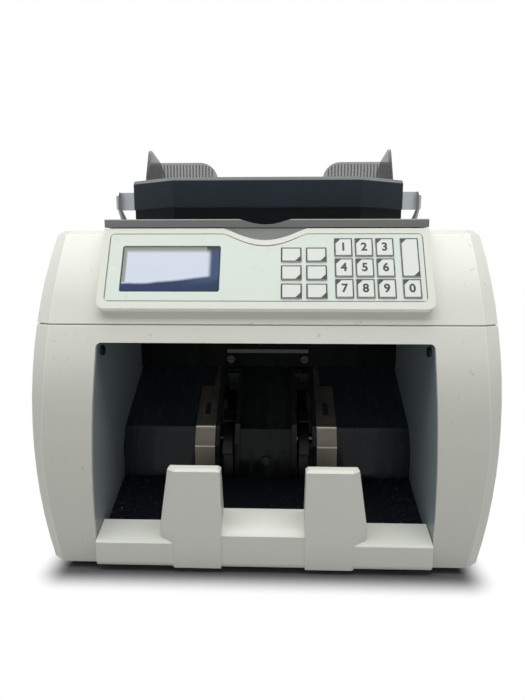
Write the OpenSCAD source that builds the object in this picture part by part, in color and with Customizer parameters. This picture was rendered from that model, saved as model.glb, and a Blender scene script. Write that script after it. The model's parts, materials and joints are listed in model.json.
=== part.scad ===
// Desktop banknote counting machine: hopper on top, control panel above an open stacking pocket.
// X runs to the right, Y to the rear and Z up. The origin is on the table, under the middle.

/* [Casing] */
// Greatest width of the casing
casing_w = 280; // [268:1:310]
// Distance from the origin forward to the fullest point of the curved front
casing_front = 134.5; // [133:0.5:138]
// Distance from the origin back to the rear wall
casing_rear = 133.5; // [126:0.5:150]
// Height of the roof above the table
casing_h = 204; // [190:0.5:226]
// Wall thickness of the casing mouldings
wall = 2.5; // [2:0.25:3]
// Radius of the curved front, seen from the side
front_r = 245.5; // [244:0.5:248]
// Height at which the curved front is fullest
front_full_z = 40; // [38:1:42]
// Radius of the barrel curve of the two sides, seen from the front
side_r = 880; // [700:10:1200]
// Height at which the sides are widest
side_full_z = 145; // [140:1:150]
// Distance of the corner bevels in from the widest point of the casing
crease_in = 9.8; // [8:0.2:12]
// Width of the bevelled band at each upright corner
bevel_w = 7.3; // [6:0.1:9]
// Depth of the bevelled band
bevel_d = 5.5; // [4:0.25:7]
// Distance of the seam between the lower and upper casing below the roof
seam_drop = 57.3; // [54:0.1:60]
// Width of the groove that marks the seam
seam_groove_w = 0.8; // [0.6:0.1:1]
// Depth of the groove that marks the seam
seam_groove_d = 1; // [0.8:0.1:1.2]
// Chamfer round the bottom edge
base_chamfer = 1.5; // [1:0.25:4]
// Chamfer round the roof
roof_chamfer = 3; // [2:0.5:4]
// Radius of the shoulder between the rear wall and the roof
shoulder_r = 70; // [66:1:76]
// Distance of the rear shoulder's start below the roof
shoulder_drop = 54; // [46:1:58]

/* [Base] */
// Height of the rubber feet below the casing
foot_h = 3; // [2:0.5:5.5]
// Radius of a rubber foot
foot_r = 8; // [7:0.5:9]
// Distance of the feet's middles in from the edge of the base pan
foot_in = 21; // [19:1:30]
// Distance of the feet from the middle, front to rear
foot_y = 92; // [85:1:94]
// Thickness of the casing's bottom rim
rim_t = 2; // [1.5:0.25:2.5]
// Thickness of the steel base pan
pan_t = 2; // [1.5:0.25:2.5]
// Distance of the base pan's edge in from the widest point of the casing
pan_in = 23; // [20:1:26]

/* [Pocket] */
// Half width of the pocket opening
pocket_half_w = 100.6; // [88:0.2:106]
// Height of the band between the pocket opening and the seam
lintel_h = 10.4; // [6:0.2:14]
// Corner radius of the pocket opening
pocket_corner_r = 3; // [1:0.5:4]
// Thickness of the pocket's side walls and ceiling
liner_t = 2; // [1.5:0.25:2.5]
// Clearance between the front tray and the casing beside it
tray_gap = 0.4; // [0.3:0.1:0.6]
// Thickness of the curved black guides at the back of the pocket
guide_sheet_t = 3; // [2:0.25:3.5]
// Distance of the back guides' upper edge below the pocket opening's top
guide_drop = 35.3; // [30:0.5:40]
// Half width of the black centre section between the back guides
centre_half_w = 35.6; // [34.6:0.2:36]
// Half width of the recessed panel in the centre section
centre_panel_half_w = 18.2; // [17:0.2:18.6]
// Thickness of the ribs on each side of the wheel slots
rib_t = 3; // [2:0.5:3.5]
// Thickness of the springy steel strips
strip_t = 0.5; // [0.3:0.1:0.8]
// Width of the lower part of a steel strip
strip_w = 14; // [12:0.5:15]

/* [Front tray] */
// Height of the tray's rear edge beside the fingers
tray_back_z = 24.5; // [24:0.5:26]
// Height of the raised middle of the tray
tray_step_z = 33; // [32:0.5:34]
// Height of the two stop fingers
finger_h = 65; // [58:1:72]
// Distance from the middle to a finger's inner edge
finger_inner = 25; // [21:0.2:30]
// Width of a finger's front face
finger_w = 27.6; // [24:0.2:32]
// How far a finger's outer side reaches past its face at the widest point
finger_flare = 9.4; // [5:0.2:12]
// Thickness of a finger at its tip
finger_tip_t = 7.5; // [6:0.5:10]

/* [Control panel] */
// How far the panel frame and the hopper reach past the pocket's sides
panel_over = 0.7; // [0:0.1:1.4]
// Length of the panel frame up its slope
panel_l = 54; // [53.5:0.25:54.5]
// Angle of the panel back from upright
panel_tilt = 27.7; // [27:0.1:28.4]
// How far the panel's lower edge stands ahead of the casing
panel_stand = 5.4; // [4.5:0.1:7]
// Distance of the panel's lower edge below the roof
panel_drop = 47.5; // [46:0.25:50]
// Thickness of the panel's front plate
panel_t = 3; // [2.5:0.25:3.25]
// Thickness of the printed overlay sheet
overlay_t = 0.6; // [0.4:0.1:0.7]
// Depth of the recess that holds the overlay
overlay_seat = 0.8; // [0.75:0.05:1]
// Half width of the thumb notch in the panel's upper edge
notch_half_w = 26; // [23:1:28]
// Depth of the thumb notch
notch_depth = 8.2; // [7:0.2:8.6]
// Clearance round each key
key_gap = 0.3; // [0.2:0.05:0.4]
// How far a key stands above the overlay
key_proud = 0.5; // [0.5:0.1:0.8]
// How far a key travels when pressed
key_travel = 0.5; // [0.3:0.1:0.5]

/* [Hopper] */
// Height of the hopper lip above the roof
lip_rise = 6; // [5:0.25:8]
// Wall thickness of the hopper tray
hopper_t = 2.5; // [2:0.25:2.5]
// Slope of the bed that the notes lie on
bed_slope = 16; // [15:0.5:17]
// Distance of the bed's front edge below the roof
bed_drop = 1; // [0.5:0.25:1.5]
// Distance of the bed's front edge forward of the origin
bed_front = 8; // [7:0.5:9]
// Distance of the bed's rear end ahead of the rear wall
bed_in = 33.5; // [32:0.5:40]
// Height of the note guides above the table
guide_h = 271; // [246:1:300]
// Distance of a note guide's outer face in from the side of the hopper
guide_in = 4.3; // [4:0.1:7]
// Wall thickness of a note guide
guide_t = 2.5; // [2:0.25:3]
// Distance of a note guide's rear stop wall behind the bed's front edge
guide_stop = 82.5; // [76:0.5:90]
// Width of the stop wall inside a note guide's side plate
guide_stop_w = 50; // [40:1:54]
// Width of the stop wall outside the side plate
guide_wing_w = 10.5; // [3:0.5:12]
// How far each note guide slides inward
guide_travel = 40; // [30:1:42]
// Teeth of the pinion between the two guides
pinion_teeth = 16; // [14:2:18]
// Gear module of the pinion and the racks
gear_module = 1.25; // [1:0.05:1.3]

/* [Feed gate] */
// Distance of the gate bar's ends in from the side of the hopper
bar_in = 5.8; // [5:0.2:9]
// Length of the bar's slanted ends
bar_end_l = 32; // [26:0.5:38]
// Front of the bar, forward of the origin
bar_front = 54.5; // [54:0.5:56]
// How far the bar's ends are set back
bar_setback = 20; // [16:1:22]
// Height of the bar's top above the roof
bar_rise = 36; // [34:0.5:40]
// Height of the bar's front face
bar_face_h = 20; // [18:0.5:21]
// Thickness of the bar, front to rear
bar_t = 12; // [10:0.5:13]
// Clearance between the steel yoke and the side frames
yoke_gap = 0.6; // [0.4:0.1:2]
// Thickness of the steel yoke
yoke_t = 1.5; // [1.2:0.1:2]
// Distance of the gate's pivot forward of the origin
pivot_front = 5; // [4:0.5:7]
// Distance of the gate's pivot below the roof
pivot_drop = 13; // [12:0.5:15]
// Radius of the gate's pivot pins
pivot_r = 4; // [3:0.25:4.5]

/* [Mechanism] */
// Clearance between the pocket walls and the side frames
frame_gap = 7.7; // [4.5:0.1:8]
// Thickness of the side frames
frame_t = 2; // [1.5:0.25:2.5]
// Radius of the steel shafts
shaft_r = 4; // [3:0.25:4.5]
// Outer radius of the shaft bearings
bearing_r = 7; // [6:0.5:8]
// Running clearance of shafts and pins in their bores
run_gap = 0.05; // [0.03:0.01:0.08]
// Radius of the feed rollers
feed_r = 24; // [22:0.5:24.5]
// Radius of the pickup rollers
pickup_r = 20.4; // [20:0.1:20.6]
// Radius of the retard rollers on the gate
retard_r = 8; // [7:0.25:8.5]
// Tip radius of the stacker wheels
stacker_r = 37; // [35:0.5:37.5]
// Number of curved fingers on a stacker wheel
stacker_fingers = 10; // [8:1:12]
// Width of a stacker wheel
stacker_w = 7; // [5:0.5:8]
// Width of the drive belts
belt_w = 6; // [5:0.5:7]
// Radius of the drive motor
motor_r = 20; // [18:0.5:22]
// Length of the drive motor's can
motor_l = 54; // [45:1:58]

/* [Hidden] */
$fn = 64;
eps = 0.01;
reach = 400; // longer than the machine, for cuts that go right through

// Widths, from the casing inwards
casing_half = casing_w / 2;
crease_half = casing_half - crease_in;
pan_half_w = casing_half - pan_in;
panel_w = 2 * (pocket_half_w + panel_over);
hopper_half_w = panel_w / 2;
guide_out = hopper_half_w - guide_in;
bar_half_l = hopper_half_w - bar_in;
bar_mid_half = bar_half_l - bar_end_l;
frame_x = pocket_half_w + liner_t + frame_gap;
yoke_half_w = frame_x - yoke_gap;
foot_x = pan_half_w - foot_in;

// Heights, from the roof down
seam_z = casing_h - seam_drop;
shoulder_z = casing_h - shoulder_drop;
pocket_top_z = seam_z - lintel_h;
guide_top_z = pocket_top_z - guide_drop;
panel_low_z = casing_h - panel_drop;
deck_z = casing_h - 4;
bed_low_z = casing_h - bed_drop;
lip_z = casing_h + lip_rise;
bar_top_z = casing_h + bar_rise;
pivot_z = casing_h - pivot_drop;

// Casing outline
inner_low_z = foot_h + rim_t;
pan_top_z = inner_low_z + pan_t;
rim_in = 10; // width of the rim that carries the pan, measured from the pan's edge
pan_front = casing_front - 22.5;
pan_rear = casing_rear - 8.5;
layers = 14; // flat steps that follow the curved front and sides

function front_y(z, inset = 0) =
    front_r - casing_front - sqrt(pow(front_r - inset, 2) - pow(z - front_full_z, 2));
function rear_y(z, inset = 0) =
    casing_rear - shoulder_r + sqrt(pow(shoulder_r - inset, 2) - pow(max(0, z - shoulder_z), 2));
function side_x(z, inset = 0) =
    casing_half - side_r + sqrt(pow(side_r, 2) - pow(z - side_full_z, 2)) - inset;
function crease_x(z, inset = 0) = min(crease_half, side_x(z) - bevel_w) - inset * 0.7;
function trim(z, low, high) = max(0, base_chamfer - z + low) + max(0, roof_chamfer - high + z);
function casing_ring(z, inset, cut) =
    let (
        w = side_x(z, inset) - cut,
        c = crease_x(z, inset) - cut,
        f = front_y(z, inset) + cut,
        r = rear_y(z, inset) - cut
    ) [
        [c, f, z], [w, f + bevel_d, z], [w, r - bevel_d, z], [c, r, z],
        [-c, r, z], [-w, r - bevel_d, z], [-w, f + bevel_d, z], [-c, f, z]
    ];
function levels(low, high) = concat(
    [low],
    [for (i = [0:layers]) low + base_chamfer + (high - low - base_chamfer - roof_chamfer) * i / layers],
    [high]
);

// Rear window and its cover
window_half_w = casing_half - 28;
window_low_z = 14;
window_high_z = casing_h - 10;
window_front = 95;
cover_gap = 0.35;
cover_lap = 4;
cover_lap_t = 1.6;
vent_w = 3;
vent_l = 34;
vent_pitch = 8;
vent_rows = 7;
vent_low_z = 96;
vent_x = 42;

// Pocket profile, as [Y, Z] points down the face of the back guides
guide_line = [[-7, guide_top_z], [-63, 68], [-69.5, 55.5], [-71, 33.5]];
guide_back = [0.6, -0.8]; // direction of the guides' thickness
strip_gap = 0.2;
strip_slot = [5, 9]; // edges of the slot in a strip, from its inner edge
strip_slot_z = [74, 80];
strip_neck = 4.5; // width of a strip's upper end
strip_neck_z = 89;
sensor_strip = [32, guide_top_z + 11, guide_top_z + 14]; // half width, lower and upper edge
floor_back = [-71, 33.5];
floor_front = [20.5 - casing_front, 18.5];
ceiling_z = pocket_top_z + 2.7;
housing_front = 12;
housing_back = 7;
wall_back = 4;
wall_steps = 10;

// Front tray profile
tray_rear = casing_front - 17;
tray_face = casing_front + 0.5;
tray_low_z = foot_h + 0.5;
tray_bevel_z = tray_low_z + 2.5;
tray_bevel_d = 1.5;
tray_edge_r = 1;
tray_side_knee = [3.5 - casing_front, 20.5];
tray_side_edge_z = 19.5;
tray_step_knee = [4.5 - casing_front, 27.5];
tray_step_edge_z = 24.8;
tray_tongue = 14;
tray_tongue_t = 2.5;
finger_face = casing_front + 1.5;
finger_tip_y = casing_front - 0.5;
finger_side_y = casing_front - 3.5;
finger_widest_z = 26;

// Panel frame: x across, y up the slope, z out of the panel
plate_corner_r = 5;
overlay_low = 4.6;
overlay_high = 50.4;
overlay_corner_r = 3;
overlay_gap = 0.2;
overlay_half_w = panel_w / 2 - 4.3;
lcd_low = [8.7 - overlay_half_w, 11];
lcd_size = [61, 31];
lcd_margin = 3;
lcd_depth = 6;
board_t = 1.6;
board_gap = 5.3;
skirt_t = 2.4;
skirt_depth = 24;
key_stem_r = 1.5;
key_stem_l = 1;
function_key_low = [overlay_half_w - 86.9, 6.8];
function_key_size = [12, 9.4];
function_key_pitch = [15.3, 12.1];
number_key_low = [overlay_half_w - 54.3, 7.2];
number_key_size = [10.5, 12];
number_key_pitch = [12.6, 13.8];
last_column_x = overlay_half_w - 14.1;
key_board_low = [function_key_low[0] - 5.6, 3.2];
key_board_high = [overlay_half_w - 0.5, 49];
tall_key_low = number_key_low[1] + number_key_pitch[1];
function number_key(row, column) =
    [number_key_low[0] + column * number_key_pitch[0], number_key_low[1] + row * number_key_pitch[1]];
function function_key(row, column) = [
    function_key_low[0] + column * function_key_pitch[0],
    function_key_low[1] + row * function_key_pitch[1]
];
// Each key is [lower left corner, size]; digits 0 to 9, the tall key, then the function keys
KEYS = concat(
    [[[last_column_x, number_key_low[1]], number_key_size]],
    [for (n = [0:8]) [number_key(2 - floor(n / 3), n % 3), number_key_size]],
    [[[last_column_x, tall_key_low], [number_key_size[0], number_key_size[1] + number_key_pitch[1]]]],
    [for (n = [0:5]) [function_key(2 - floor(n / 2), n % 2), function_key_size]]
);

// Hopper
slope_tan = tan(bed_slope);
panel_front = panel_stand - front_y(panel_low_z);
lip_front = panel_front - panel_l * sin(panel_tilt) - 0.4;
bed_rear = casing_rear - bed_in;
lip_depth = 17;
lip_t = 5;
deck_rear = 52;
lip_wall_front = lip_front - 5.5;
lip_wall_low_z = lip_z - 17;
tongue_gap = 0.4;
tongue_drop = 0.6; // how far the tongue in the thumb notch lies below the panel's face
tongue_lap = 2;
cheek_dip = [30, 4]; // where the cheeks dip beside the rollers, ahead of the bed
lip_notch_half_w = 16.5;
lip_notch_depth = 3.3;
roof_gap = 0.7;
leg_gap = 1.5;
leg_room = [16, 13]; // for the yoke's side plates, before and behind the pivot
ear_t = 1.3;
ear_front = 20;
ear_rear = bed_rear - 10;
pinion_v = (bed_front + bed_rear) / cos(bed_slope) - 42.35; // distance of the pinion up the bed
pitch_r = pinion_teeth * gear_module / 2;
pinion_w = 4;
rack_top = -5.5; // height of the rack's upper face from the bed's surface
rack_bar_w = 5;
rack_overrun = 18;
gear_play = 0.3;
neck_w = 8;
neck_d = 4;
neck_gap = 0.4;
guide_clear = 0.4;
guide_foot_w = 12;
guide_foot_l = 28;
// Upper edge of a guide's side plate: distances in from the front and from the rear, then down from its top
guide_front_edge = [[18, 21], [28, 2], [30, 0]];
guide_rear_edge = [[22, 4], [0, 12.5]];
guide_stop_drop = 1;
guide_corner_r = 16;
pin_r = 3;
pin_head_t = 1.2;
pin_head_gap = 0.4;

bar_h = 34; // overall height of the bar with its lower body

// Steel yoke behind the bar
yoke_y = -bar_front + bar_setback + bar_t;
yoke_z = bar_top_z - 13;
yoke_strap_h = 12.6;
yoke_nose = 7.5; // how far the side plates stand ahead of the strap
yoke_corner = 3;
yoke_leg_r = 7;
// Edges of the yoke's legs, as [Y, Z] from the strap's rear lower corner
yoke_leg_front = [[-6, 0], [1, -7]];
yoke_leg_rear = [[23, -21], [12, -6], [1, 0]];

// Feed path
feed_at = [-18, casing_h - 28];
pickup_at = [12, casing_h - 14];
stacker_at = [-36, 50];
motor_at = [50, 40];
retard_angle = 127;
retard_gap = 0.4;
retard_at = feed_at + (feed_r + retard_r + retard_gap) * [cos(retard_angle), sin(retard_angle)];
retard_shaft_r = 2;
retard_shaft_half = 26;
retard_arm_x = 6;
roller_clear = 0.6;
window_gap = 1.2;
pickup_x = 41;
pickup_w = 11;
feed_x = 17;
feed_w = 16;
stacker_x = 26.8;
shaft_end = frame_x + 16.5;
short_end = frame_x + 4;
bearing_w = 5;
belt_in = frame_x + 7;
belt_t = 1.5;
belt_gap = 0.3;
pulley_flange = 1.2;
pulley_flange_t = 1;
feed_pulley_r = 18;
stacker_pulley_r = 16;
motor_pulley_r = 9;
feed_side_pulley_r = 9;
pickup_pulley_r = 8;
motor_shaft_r = 3;
motor_flange_t = 3;
motor_hole_r = 8;
// Side frame outline, as [Y, Z] points of its front edge
frame_edge = [
    [70.5 - casing_front, deck_z],
    [36.5 - casing_front, pocket_top_z + 4],
    [22.5 - casing_front, 60]
];
frame_rear = casing_rear - 35.5;
board_off = 6;
supply_front = frame_rear - 40;
supply_plate = [84, 60, 3];
supply_edge = 8;
supply_core = [44, 44, 35];
supply_can = [8, 26]; // radius and height
supply_can_rows = [14, 34];
supply_x = 8;
board_low_z = 74;
board_high_z = 150;
chip = [18, 4, 24];
chip_columns = [-70, -30, 20, 60];
chip_up = 20;

// Rear connections
inlet_x = 42 - window_half_w;
inlet_z = 50;
inlet_size = [58, 30];
inlet_flange_t = 2.5;
socket_x = -12;
socket_size = [25, 17];
socket_depth = 15;
socket_body = [29, 21, 22];
socket_corner_r = 3;
blade = [2, 12, 4];
blade_pitch = 7;
switch_x = 17;
switch_size = [12.6, 18.4];
switch_gap = 1;
switch_tilt = 8;
switch_body_t = 1.5;
switch_depth = 13;
switch_pin_r = 1.5;
switch_pin_in = 1.5; // distance of the rocker's axis in from the rear wall
pin_bite = 0.6;

// Knob for the feed gap
knob_at = [casing_half - 20, casing_rear - 58.5];
knob_r = 11;
knob_h = 7.5;
knob_grips = 18;
knob_stem_r = 3;
knob_stem_l = 12;

// Screws
screw_head_h = 1.6;
screw_head_r = 3.1;
screw_r = 1.5;
screw_l = 4;
wall_screw_z = pocket_top_z - 6.3;
wall_screw = [front_y(wall_screw_z) + 12.4, wall_screw_z];
housing_screw = [29, guide_top_z + 6];
centre_screw_z = 45;
cover_screw_in = 9;
cover_screw_up = 12;
cover_screw_down = 66;
cover_screw_rows = [window_low_z + cover_screw_up, window_high_z - cover_screw_down];
cover_screws = [for (x = [-1, 1], z = cover_screw_rows) [x * (window_half_w - cover_screw_in), z]];

body_grey = [0.76, 0.76, 0.71];
tray_grey = [0.78, 0.78, 0.74];
lip_grey = [0.5, 0.51, 0.49];
gloss_black = [0.05, 0.05, 0.06];
bar_black = [0.11, 0.12, 0.15];
liner_grey = [0.45, 0.47, 0.47];
smoke_grey = [0.5, 0.53, 0.5, 0.75];
steel = [0.72, 0.73, 0.75];
rubber_black = [0.08, 0.08, 0.08];
board_green = [0.06, 0.3, 0.16];

// Closed skin through a stack of eight-sided rings
module casing_skin(low, high, inset) {
    sides = 8;
    zs = levels(low, high);
    last = (len(zs) - 1) * sides;
    points = [for (z = zs) each casing_ring(z, inset, trim(z, low, high))];
    walls = [for (i = [0:len(zs) - 2], j = [0:sides - 1])
        let (a = i * sides + j, b = i * sides + (j + 1) % sides)
        each [[a, a + sides, b + sides], [a, b + sides, b]]];
    bottom = [[for (j = [0:sides - 1]) j]];
    top = [[for (j = [sides - 1:-1:0]) last + j]];
    polyhedron(points, concat(bottom, walls, top));
}

module casing_outside() { casing_skin(foot_h, casing_h, 0); }

module casing_inside(extra = 0) { casing_skin(inner_low_z, casing_h - wall - extra, wall + extra); }

module slab(low, high) {
    translate([-reach / 2, -reach / 2, low]) cube([reach, reach, high - low]);
}

// A box from its lowest to its highest corner
module block(from, to) { translate(from) cube(to - from); }

module mirrored() {
    children();
    mirror([1, 0, 0]) children();
}

// Extrudes an outline of [Y, Z] points along X
module along_x(from, to) {
    translate([from, 0, 0]) rotate([90, 0, 90]) linear_extrude(to - from) children();
}

module rod_x(from, to, r, at) {
    translate([from, at[0], at[1]]) rotate([0, 90, 0]) cylinder(h = to - from, r = r);
}

module rod_y(from, to, r, at) {
    translate([at[0], to, at[1]]) rotate([90, 0, 0]) cylinder(h = to - from, r = r);
}

module rounded(size, r) {
    translate([r, 0]) square([size[0] - 2 * r, size[1]]);
    translate([0, r]) square([size[0], size[1] - 2 * r]);
    for (x = [r, size[0] - r], y = [r, size[1] - r]) translate([x, y]) circle(r);
}

module in_panel() {
    translate([0, -panel_front, panel_low_z]) rotate([90 - panel_tilt, 0, 0]) children();
}

module on_bed() {
    translate([0, -bed_front, bed_low_z]) rotate([bed_slope, 0, 0]) children();
}

// Outline of the thumb notch, hanging down from the line y = 0
function notch_drop(x, half, depth) = depth * pow(max(0, 1 - pow(x / half, 2)), 1.3);
module notch(half, depth) {
    steps = 16;
    polygon(concat(
        [[-half, 2 * depth]],
        [for (i = [0:steps]) let (x = half * (2 * i / steps - 1)) [x, -notch_drop(x, half, depth)]],
        [[half, 2 * depth]]
    ));
}

// Casing
module casing_shell() {
    w = pan_half_w - rim_in;
    difference() {
        casing_outside();
        casing_inside();
        block([-w, rim_in - pan_front, 0], [w, pan_rear - rim_in, inner_low_z + eps]);
    }
}

module seam_groove() {
    intersection() {
        slab(seam_z - seam_groove_w / 2, seam_z + seam_groove_w / 2);
        difference() {
            slab(0, casing_h);
            casing_skin(foot_h, casing_h, seam_groove_d);
        }
    }
}

module rear_window(gap) {
    block(
        [-window_half_w - gap, window_front, window_low_z - gap],
        [window_half_w + gap, reach / 2, window_high_z + gap]
    );
}

module pocket_opening() {
    w = pocket_half_w;
    r = pocket_corner_r;
    translate([0, -window_front, 0]) rotate([90, 0, 0]) linear_extrude(reach / 2) {
        translate([-w, -r]) rounded([2 * w, pocket_top_z + r], r);
    }
}

module lower_casing() {
    color(body_grey) difference() {
        intersection() {
            casing_shell();
            slab(0, seam_z);
        }
        pocket_opening();
        rear_window(cover_gap);
        seam_groove();
    }
}

module hopper_hole() {
    w = hopper_half_w + roof_gap;
    block([-w, -lip_front, deck_z - hopper_t - roof_gap], [w, bed_rear + roof_gap, reach]);
    mirrored() block(
        [hopper_half_w, -pivot_front - leg_room[0], deck_z - 1],
        [yoke_half_w + leg_gap, -pivot_front + leg_room[1], reach]
    );
}

module panel_hole() {
    w = panel_w / 2 - skirt_t - 1;
    in_panel() translate([-w, skirt_t, -2 * skirt_depth]) cube([2 * w, 2 * panel_l, 3 * skirt_depth]);
}

module upper_casing() {
    color(body_grey) difference() {
        intersection() {
            casing_shell();
            slab(seam_z, casing_h);
        }
        panel_hole();
        hopper_hole();
        rear_window(cover_gap);
        seam_groove();
        translate([knob_at[0], knob_at[1], 0]) cylinder(h = reach, r = knob_stem_r + run_gap);
    }
}

module cover_holes() {
    for (s = cover_screws) rod_y(window_front, reach / 2, screw_r, s);
    for (side = [-1, 1], i = [0:vent_rows - 1])
        block(
            [side * vent_x - vent_l / 2, window_front, vent_low_z + i * vent_pitch],
            [side * vent_x + vent_l / 2, reach / 2, vent_low_z + i * vent_pitch + vent_w]
        );
    block(
        [inlet_x + socket_x - socket_body[0] / 2, window_front, inlet_z - socket_body[1] / 2],
        [inlet_x + socket_x + socket_body[0] / 2, reach / 2, inlet_z + socket_body[1] / 2]
    );
    switch_housing(switch_body_t, reach / 2);
}

// The block around the rocker, grown by t, from inside the rear wall back to y
module switch_housing(t, to_y) {
    half = switch_size / 2 + (switch_gap + t) * [1, 1];
    x = inlet_x + switch_x;
    y = casing_rear - switch_depth - t;
    block([x - half[0], y, inlet_z - half[1]], [x + half[0], to_y, inlet_z + half[1]]);
}

module rear_cover() {
    color(body_grey) difference() {
        union() {
            intersection() {
                casing_shell();
                rear_window(0);
            }
            intersection() {
                difference() {
                    casing_inside();
                    casing_inside(cover_lap_t);
                }
                rear_window(cover_lap);
            }
        }
        cover_holes();
    }
}

module base_pan() {
    color(steel) block([-pan_half_w, -pan_front, inner_low_z], [pan_half_w, pan_rear, pan_top_z]);
}

module rubber_feet() {
    color(rubber_black) for (x = [-foot_x, foot_x], y = [-foot_y, foot_y])
        translate([x, y, 0]) {
            cylinder(h = inner_low_z, r = foot_r);
        }
}

// Control panel
module panel_outline(inset) {
    w = panel_w / 2 - inset;
    r = plate_corner_r - inset;
    difference() {
        translate([-w, inset]) rounded([2 * w, panel_l - inset + plate_corner_r], r);
        translate([-w, panel_l]) square([2 * w, 2 * plate_corner_r]);
    }
}

module overlay_outline(gap) {
    w = overlay_half_w - gap;
    r = overlay_corner_r;
    difference() {
        translate([-w, overlay_low + gap]) rounded([2 * w, overlay_high - overlay_low - 2 * gap], r);
        translate([0, overlay_high - gap]) notch(notch_half_w, notch_depth + gap);
    }
}

module key_windows(gap) {
    for (k = KEYS)
        translate(k[0] - [gap, gap]) square(k[1] + 2 * [gap, gap]);
}

module panel_bezel() {
    color(body_grey) difference() {
        in_panel() difference() {
            translate([0, 0, -skirt_depth]) linear_extrude(skirt_depth) panel_outline(0);
            translate([0, 0, -skirt_depth - 1]) linear_extrude(skirt_depth + 1 - panel_t) {
                panel_outline(skirt_t);
                w = panel_w / 2 - skirt_t;
                translate([-w, panel_l / 2]) square([2 * w, panel_l]);
            }
            translate([0, 0, -overlay_seat]) linear_extrude(panel_t) overlay_outline(0);
            translate([0, 0, -skirt_depth]) linear_extrude(2 * skirt_depth) {
                translate([0, panel_l]) notch(notch_half_w, notch_depth);
                translate(lcd_low) rounded(lcd_size, 1.5);
                key_windows(key_gap);
            }
        }
        casing_outside();
    }
}

module panel_overlay() {
    color([0.9, 0.93, 0.89]) in_panel() translate([0, 0, -overlay_seat])
        linear_extrude(overlay_t) difference() {
            overlay_outline(overlay_gap);
            translate(lcd_low) rounded(lcd_size, 1.5);
            key_windows(key_gap);
        }
}

module lcd_module() {
    glass_gap = 0.2;
    color([0.2, 0.3, 0.6]) in_panel() {
        translate([lcd_low[0] - lcd_margin, lcd_low[1] - lcd_margin, -panel_t - lcd_depth])
            cube([lcd_size[0] + 2 * lcd_margin, lcd_size[1] + 2 * lcd_margin, lcd_depth]);
        translate([0, 0, -panel_t - eps]) linear_extrude(panel_t - overlay_seat)
            translate(lcd_low + [glass_gap, glass_gap]) rounded(lcd_size - 2 * [glass_gap, glass_gap], 1.5);
    }
}

module key_board() {
    low = key_board_low;
    high = key_board_high;
    post_r = 1.2;
    color(board_green) in_panel() {
        translate([low[0], low[1], -board_gap - board_t])
            cube([high[0] - low[0], high[1] - low[1], board_t]);
        for (x = [low[0] + post_r + 0.5, high[0] - post_r], y = [low[1] + post_r, high[1] - post_r])
            translate([x, y, -board_gap - eps]) cylinder(h = board_gap - panel_t + eps, r = post_r);
    }
}

module key(n) {
    k = KEYS[n];
    low = -panel_t - 0.4;
    color([0.93, 0.95, 0.92]) in_panel() {
        translate([k[0][0], k[0][1], low])
            cube([k[1][0], k[1][1], key_proud - overlay_seat + overlay_t - low]);
        translate([k[0][0] + k[1][0] / 2, k[0][1] + k[1][1] / 2, low - key_stem_l])
            cylinder(h = key_stem_l + eps, r = key_stem_r);
    }
}

// Hopper
module bed_profile() {
    rise = (bed_front + bed_rear) * slope_tan;
    polygon([
        [-bed_front, bed_low_z - hopper_t], [-bed_front, bed_low_z], [bed_rear, bed_low_z + rise],
        [bed_rear, deck_z - hopper_t], [bed_rear - hopper_t, deck_z - hopper_t],
        [bed_rear - hopper_t, bed_low_z + rise - hopper_t * 1.3]
    ]);
}

module lip_profile() {
    y = -lip_front;
    r = -lip_front + lip_depth;
    w = -lip_wall_front;
    polygon([
        [y, lip_z - lip_t], [y, lip_z - 0.6], [y + 0.6, lip_z], [r, lip_z], [r, deck_z],
        [-deck_rear, deck_z],
        [-deck_rear, deck_z - hopper_t], [r - hopper_t, deck_z - hopper_t], [r - hopper_t, lip_z - lip_t],
        [w + liner_t, lip_z - lip_t], [w + liner_t, lip_wall_low_z], [w, lip_wall_low_z], [w, lip_z - lip_t]
    ]);
}

module cheek_profile() {
    rise = (bed_front + bed_rear) * slope_tan;
    y = -lip_front + lip_depth - hopper_t;
    polygon([
        [y, deck_z - hopper_t], [y, lip_z], [y + hopper_t, lip_z], [-bed_front - cheek_dip[0], deck_z + 1],
        [-bed_front - cheek_dip[1], deck_z + 1], [-bed_front, bed_low_z], [bed_rear, bed_low_z + rise],
        [bed_rear, deck_z - hopper_t]
    ]);
}

module guide_slots() {
    w = neck_w + 2 * neck_gap;
    for (side = [-1, 1]) {
        v = pinion_v - side * (pitch_r + gear_module * 1.25 + rack_bar_w / 2);
        x0 = guide_out - neck_w - guide_travel - 2 * neck_gap;
        translate([side > 0 ? x0 : -x0 - guide_travel - w, v - neck_d / 2 - neck_gap, -4 * hopper_t])
            cube([guide_travel + w, neck_d + 2 * neck_gap, 8 * hopper_t]);
    }
}

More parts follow.
